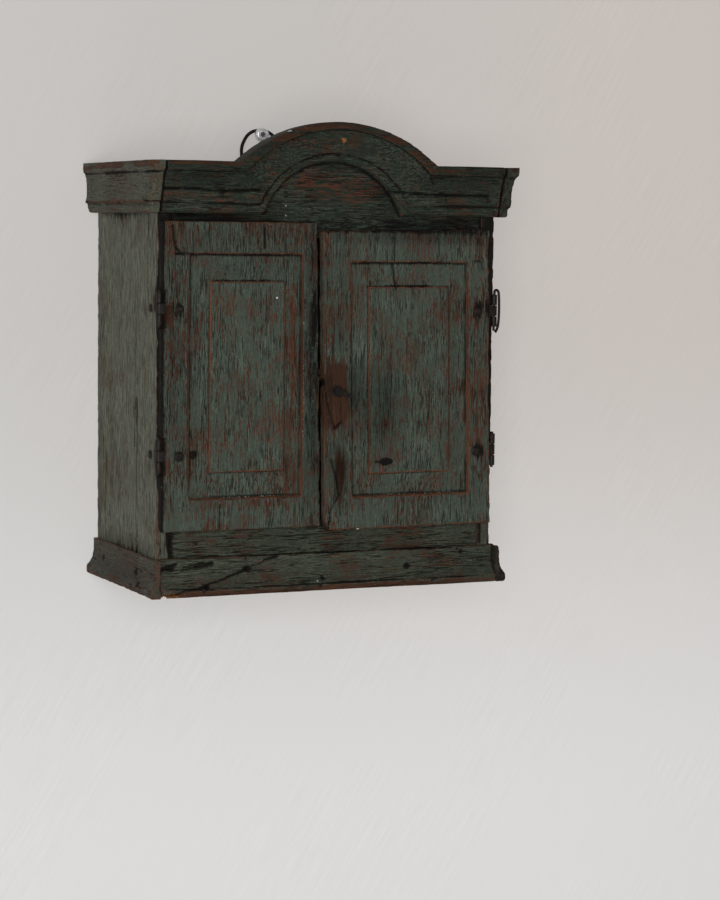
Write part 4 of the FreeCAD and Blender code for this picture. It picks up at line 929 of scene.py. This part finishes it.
# Doors: panels are given as low corner, high corner and lean, a bite as a point and the way it is cut off
doorLook = {"finish": "doorPaint", "cell": 0.95, "wave": 0.9, "grain": 0.45, "chip": 1.3, "seed": 52.0,
            "crackWidth": 1.1, "crackDepth": 1.4}
leftDoor = {
    "panels": {"field": ((-108.5, 100.5), (-44.3, 253.5), 0.0),
               "sunk": ((-126.0, 79.0), (-28.0, 276.0), 0.0)},
    "bites": [],
    "cracks": [[(-138, 276), (-126, 276.2)], [(-99.5, 54), (-98.8, 74)],
               [(-140.5, 298), (-138, 281), (-134, 277)], [(-62, 300), (-61.4, 281)]],
    "patches": [
        (-162, 6, oval, ("fleck", -51, 240.5, 1.1, 1.1, 1)),
        # The soot and dim down the right stile, here and below, are grime and the painted shadow cast by the
        # right door's edge
        (-162, 12, oval, ("soot", -147, 213, 4.5, 8, 0.75), ("soot", -17.5, 200, 5.5, 90, 0.55),
         ("soot", -17.8, 222, 4.5, 32, 0.9), ("rub", -19, 263, 5, 16, 0.9),
         ("soot", -134.3, 230, 7.5, 9.5, 0.85), ("soot", -134, 116, 7, 8, 0.55),
         ("soot", -121.7, 114.9, 3, 3.4, 1.4)),
        (-162, 12, boxy, ("bare", -142.8, 228, 3.4, 10, 1), ("bare", -36, 178, 4.2, 105, 0.42),
         ("rub", -36.4, 175, 6.5, 108, 0.95), ("rub", -140, 200, 12, 110, 0.4),
         ("dim", -140, 200, 12, 110, 0.5), ("rub", -50, 294, 44, 12, 0.4),
         ("dim", -19, 190, 9, 125, 1)),
        # In this group: painted shade inside the top and left of the sunk band and along the top rail,
        # painted shade lines on the tops of the field and the sunk band, and painted highlight lines along
        # the sunk band's foot and the right bevel
        (-162, 12, square, ("bare", -127.4, 178, 1, 98, 0.8), ("rub", -77, 74.5, 48, 4, 0.8),
         ("dim", -80, 289, 70, 14, 0.45), ("dim", -77, 265, 50, 11, 0.4),
         ("dim", -118, 175, 8, 96, 0.25), ("fleck", -77, 79.6, 45, 0.5, 0.45),
         ("rub", -77, 175, 34, 78, 0.14), ("fleck", -26.8, 175, 0.6, 95, 0.46),
         ("soot", -77, 254.6, 34, 1, 0.9), ("soot", -77, 275.3, 50, 1, 1)),
        # Painted shade along the door's left edge
        (-160, 12, square, ("soot", -150.5, 180, 2.8, 200, 2.4))]}
rightDoor = {
    "panels": {"field": ((30.7, 96.0), (104.7, 249.5), 2.9), "sunk": ((15.0, 77.0), (124.0, 270.0), 3.6)},
    "bites": [((-6.2, -165.0, 50.5), (-0.9, 0.0, -0.43))],
    "cracks": [[(52.1, 291), (51.5, 270), (53.6, 247)],
               [(-12.4, 174), (-8.6, 155.7), (-1.3, 134.2), (4.5, 139)],
               [(-4.5, 108), (1, 91.3), (3, 80)], [(4, 80), (-4, 68), (-6.5, 50.5)],
               [(127, 271), (132.5, 271.4)]],
    "patches": [
        (-166, 6, oval, ("fleck", 20.7, 49.6, 1.3, 1.3, 1.4)),
        (-168, 14, plump, ("bare", -2.5, 160, 14.5, 30, 1.3)),
        (-168, 14, oval, ("soot", 1.5, 164, 8, 4.5, 1), ("bare", 3, 96, 6, 26, 0.95),
         ("dim", 3, 98, 8, 30, 1.2)),
        (-168, 14, boxy, ("rub", -8, 185, 4, 130, 0.6), ("dim", -2, 200, 14, 100, 0.4)),
        (-166, 14, oval, ("dim", 38, 150, 24, 38, 0.85), ("dim", 16, 165, 14, 26, 1)),
        (-166, 12, oval, ("soot", 46.5, 105.4, 5.2, 3, 2), ("soot", 38, 105.4, 5, 1.4, 0.5)),
        # A painted highlight line along the sunk band's foot
        (-164, 14, square, ("fleck", 72, 77.5, 46, 0.5, 0.45), ("rub", 72, 73, 48, 3, 0.6)),
        # Painted shade along the door's top, under the frieze
        (-164, 14, boxy, ("dim", 66, 292, 80, 7, 0.8), ("soot", 66, 296, 80, 3, 0.8)),
        (-164, 12, boxy, ("rub", 133, 175, 10, 90, 0.74), ("rub", 133, 280, 12, 18, 0.4)),
        (-164, 12, oval, ("soot", 131.5, 229.5, 6, 8, 0.7), ("soot", 133, 112, 6, 9, 0.7),
         ("soot", 142, 232, 5, 12, 0.8)),
        # Painted shade lines along the tops of the field and the sunk band
        (-164, 12, square, ("soot", 66, 250.4, 38, 1, 0.9), ("soot", 66, 269.5, 54, 1, 1))]}


def makeDoors():
    for door, (side, sign) in zip((leftDoor, rightDoor), bothSides.items()):
        look = dict(doorLook, seed=doorLook["seed"] + sign)
        weathered(f"door_{side}", look, f"{side}_door", door["cracks"], onFront(door["patches"]), towardsBack,
                  pocketFills("door", side, sign), door["panels"], door["bites"])
    print("doors worn")


# Iron: hinge leaves, pins and latch, uneven from the hammer
leafLook = {"finish": "iron", "cell": 0.45, "wave": 0.3, "grain": 0.1, "chip": 0.3, "seed": 60.0}
pinLook = dict(leafLook, cell=0.3)
latchLook = dict(leafLook, cell=0.35, seed=66.0)
spindleLook = dict(latchLook, cell=0.25, wave=0.05, grain=0.02, chip=0.08)


def makeIronwork():
    for place in ("left_upper", "left_lower", "right_upper", "right_lower"):
        door = "left_door" if place.startswith("left") else "right_door"
        weathered(f"hinge_leaf_side_{place}", leafLook)
        weathered(f"hinge_leaf_door_{place}", leafLook, door)
    for place in ("left_upper", "left_lower", "right_lower"):
        weathered(f"hinge_pin_{place}", pinLook)
    for node, look, body in (("latch_washer", spindleLook, "right_door"),
                             ("latch_spindle", spindleLook, "latch"),
                             ("latch_arm", latchLook, "latch"), ("latch_keeper", latchLook, "carcass")):
        weathered(node, look, body)
    print("ironwork done")


# A bent wire stands in for the upper right pin, a little thinner than its solid
wireLook = {"thickness": 2.6, "slim": 0.86, "sides": 4,
            "route": [(149.5, -155.9, 212.5), (149.5, -155.9, 244.6), (150.4, -155.9, 246.9),
                      (152.6, -155.9, 246.9), (154.1, -155.9, 244.6), (154.5, -155.9, 229.0),
                      (153.9, -155.9, 217.5), (152.6, -155.9, 213.6), (150.8, -156.8, 211.6)]}


def makeWire():
    radius = wireLook["thickness"] / 2 * mm * wireLook["slim"]
    route = [spot(*place) for place in wireLook["route"]]
    curve = newObject("wirePinCurve", tube("wirePin", route, radius, wireLook["sides"]))
    mesh = plainMesh(curve)
    bpy.data.objects.remove(curve)
    mesh.materials.clear()
    mesh.materials.append(finishes["iron"])
    handOver(newObject("hinge_wire_pin_bent", mesh), "carcass", "hinge_wire_pin_right_upper")
    print("wire bent")


# Nails: lumpy heads and plain shanks on the places of the CAD nails
nailLook = {"corners": 14, "rings": 3, "crown": 0.5, "lump": 0.5, "lumpScale": 330.0, "seed": 4,
            "smallest": (0.88, 0.82, 0.9), "largest": (1.0, 1.0, 1.0)}
forgedNail = {"Head": 4.4, "Dome": 1.7, "Shank": 1.3}
smallNail = {"Head": 2.4, "Dome": 0.9, "Shank": 1.0}
nailSets = {"hinge_nails_left_door": ("left_door", forgedNail),
            "hinge_nails_right_door": ("right_door", forgedNail),
            "hinge_nails_sides": ("carcass", forgedNail), "cornice_nails": ("carcass", smallNail),
            "base_nails": ("carcass", smallNail), "cleat_nails": ("carcass", smallNail)}


def makeNailTree():
    look = nailLook
    inputs = {"Geometry": "Geometry", "Head": "Float", "Dome": "Float", "Shank": "Float", "Length": "Float",
              "Lump": "Float", "Finish": "Material"}
    tree, desk, given, result = newTree("nailTree", "GeometryNodeTree", inputs, {"Geometry": "Geometry"})
    head = desk.put("GeometryNodeMeshCone", {
        "Vertices": look["corners"], "Side Segments": look["rings"], "Fill Segments": look["rings"],
        "Radius Top": desk.times(given["Head"], look["crown"]), "Radius Bottom": given["Head"],
        "Depth": given["Dome"]})
    shank = desk.put("GeometryNodeMeshCylinder", {"Vertices": look["corners"], "Radius": given["Shank"],
                                                  "Depth": given["Length"]})
    drop = desk.put("ShaderNodeCombineXYZ", {"Z": desk.times(given["Length"], -0.5)}).outputs[0]
    whole = desk.put("GeometryNodeJoinGeometry")
    desk.feed(whole.inputs[0], head.outputs[0])
    desk.feed(whole.inputs[0], desk.onward(shank.outputs[0], "Transform", {"Translation": drop}))
    aim = desk.put("GeometryNodeInputNamedAttribute", {"Name": "aim"}, data_type="FLOAT_VECTOR")
    turn = desk.put("FunctionNodeAlignRotationToVector", {"Vector": live(aim.outputs, "Attribute")}, axis="Z")
    size = desk.put("FunctionNodeRandomValue", {"Min": look["smallest"], "Max": look["largest"],
                                                "Seed": look["seed"]}, data_type="FLOAT_VECTOR")
    shape = desk.put("GeometryNodeInstanceOnPoints", {
        "Points": given["Geometry"], "Instance": whole.outputs[0], "Rotation": turn.outputs[0],
        "Scale": live(size.outputs, "Value")}).outputs[0]
    shape = desk.onward(shape, "RealizeInstances")
    place = desk.put("GeometryNodeInputPosition").outputs[0]
    lumps = desk.wobble(place, look["lumpScale"], given["Lump"])
    shape = desk.onward(shape, "SetPosition", {"Offset": lumps})
    desk.feed(result[0], desk.onward(shape, "SetMaterial", {"Material": given["Finish"]}))
    return tree


def nailPlaces(node):
    # Each nail is one island of the CAD mesh; its head is at the wide end of its longest side
    build = mergedMesh(node)
    left = set(build.verts)
    places = []
    while left:
        island, queue = [], [left.pop()]
        while queue:
            vert = queue.pop()
            island.append(vert.co.copy())
            for edge in vert.link_edges:
                other = edge.other_vert(vert)
                if other in left:
                    left.remove(other)
                    queue.append(other)
        places.append(nailPose(np.array(island)))
    build.free()
    return places


def nailPose(points):
    low, high = points.min(axis=0), points.max(axis=0)
    middle = (low + high) / 2
    axis = int(np.argmax(high - low))
    across = np.delete(points - middle, axis, axis=1)
    wide = points[np.argmax((across ** 2).sum(axis=1))]
    aim = [0.0, 0.0, 0.0]
    aim[axis] = 1.0 if wide[axis] > middle[axis] else -1.0
    base = middle.copy()
    base[axis] = wide[axis]
    return base, aim, high[axis] - low[axis]


def makeNails():
    tree = makeNailTree()
    for node, (body, sizes) in nailSets.items():
        bases, aims, lengths = zip(*nailPlaces(node))
        mesh = bpy.data.meshes.new(node + "_driven")
        mesh.from_pydata(bases, [], [])
        layer = mesh.attributes.new("aim", "FLOAT_VECTOR", "POINT")
        layer.data.foreach_set("vector", [number for aim in aims for number in aim])
        obj = newObject(node + "_driven", mesh)
        values = {name: size * mm for name, size in sizes.items()}
        values.update({"Length": lengths[0] - values["Dome"], "Lump": nailLook["lump"] * mm,
                       "Finish": finishes["iron"]})
        setInputs(obj.modifiers.new("nails", "NODES"), tree, values)
        freeze(obj)
        handOver(obj, body, node)
    print("nails driven")


# What stays as its CAD solid gets only its finish
plainSolids = {"hanging_screw": "zinc", "back_nails": "iron", "cord_knot_left": "cord",
               "cord_knot_right": "cord"}


def dressSolids():
    for node, finish in plainSolids.items():
        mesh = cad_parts[node].data
        mesh.materials.clear()
        mesh.materials.append(finishes[finish])
    print("solids dressed")


makeCamera()
trees = {"weather": makeWeatherTree(), "grain": makeGrainGroup()}
trees["paint"] = makePaintGroup()
finishes = {name: makePaint(name) for name in paintLooks}
finishes.update({name: makePine(name) for name in pineWays})
finishes.update({"iron": makeIron(), "zinc": makeZinc(), "cord": makeCordSkin()})
print("finishes mixed")
makeCord()
makeStage()
makeSides()
makeInside()
makeCornice()
makeBase()
makeFriezeAndRail()
makeDoors()
makeIronwork()
makeWire()
makeNails()
dressSolids()
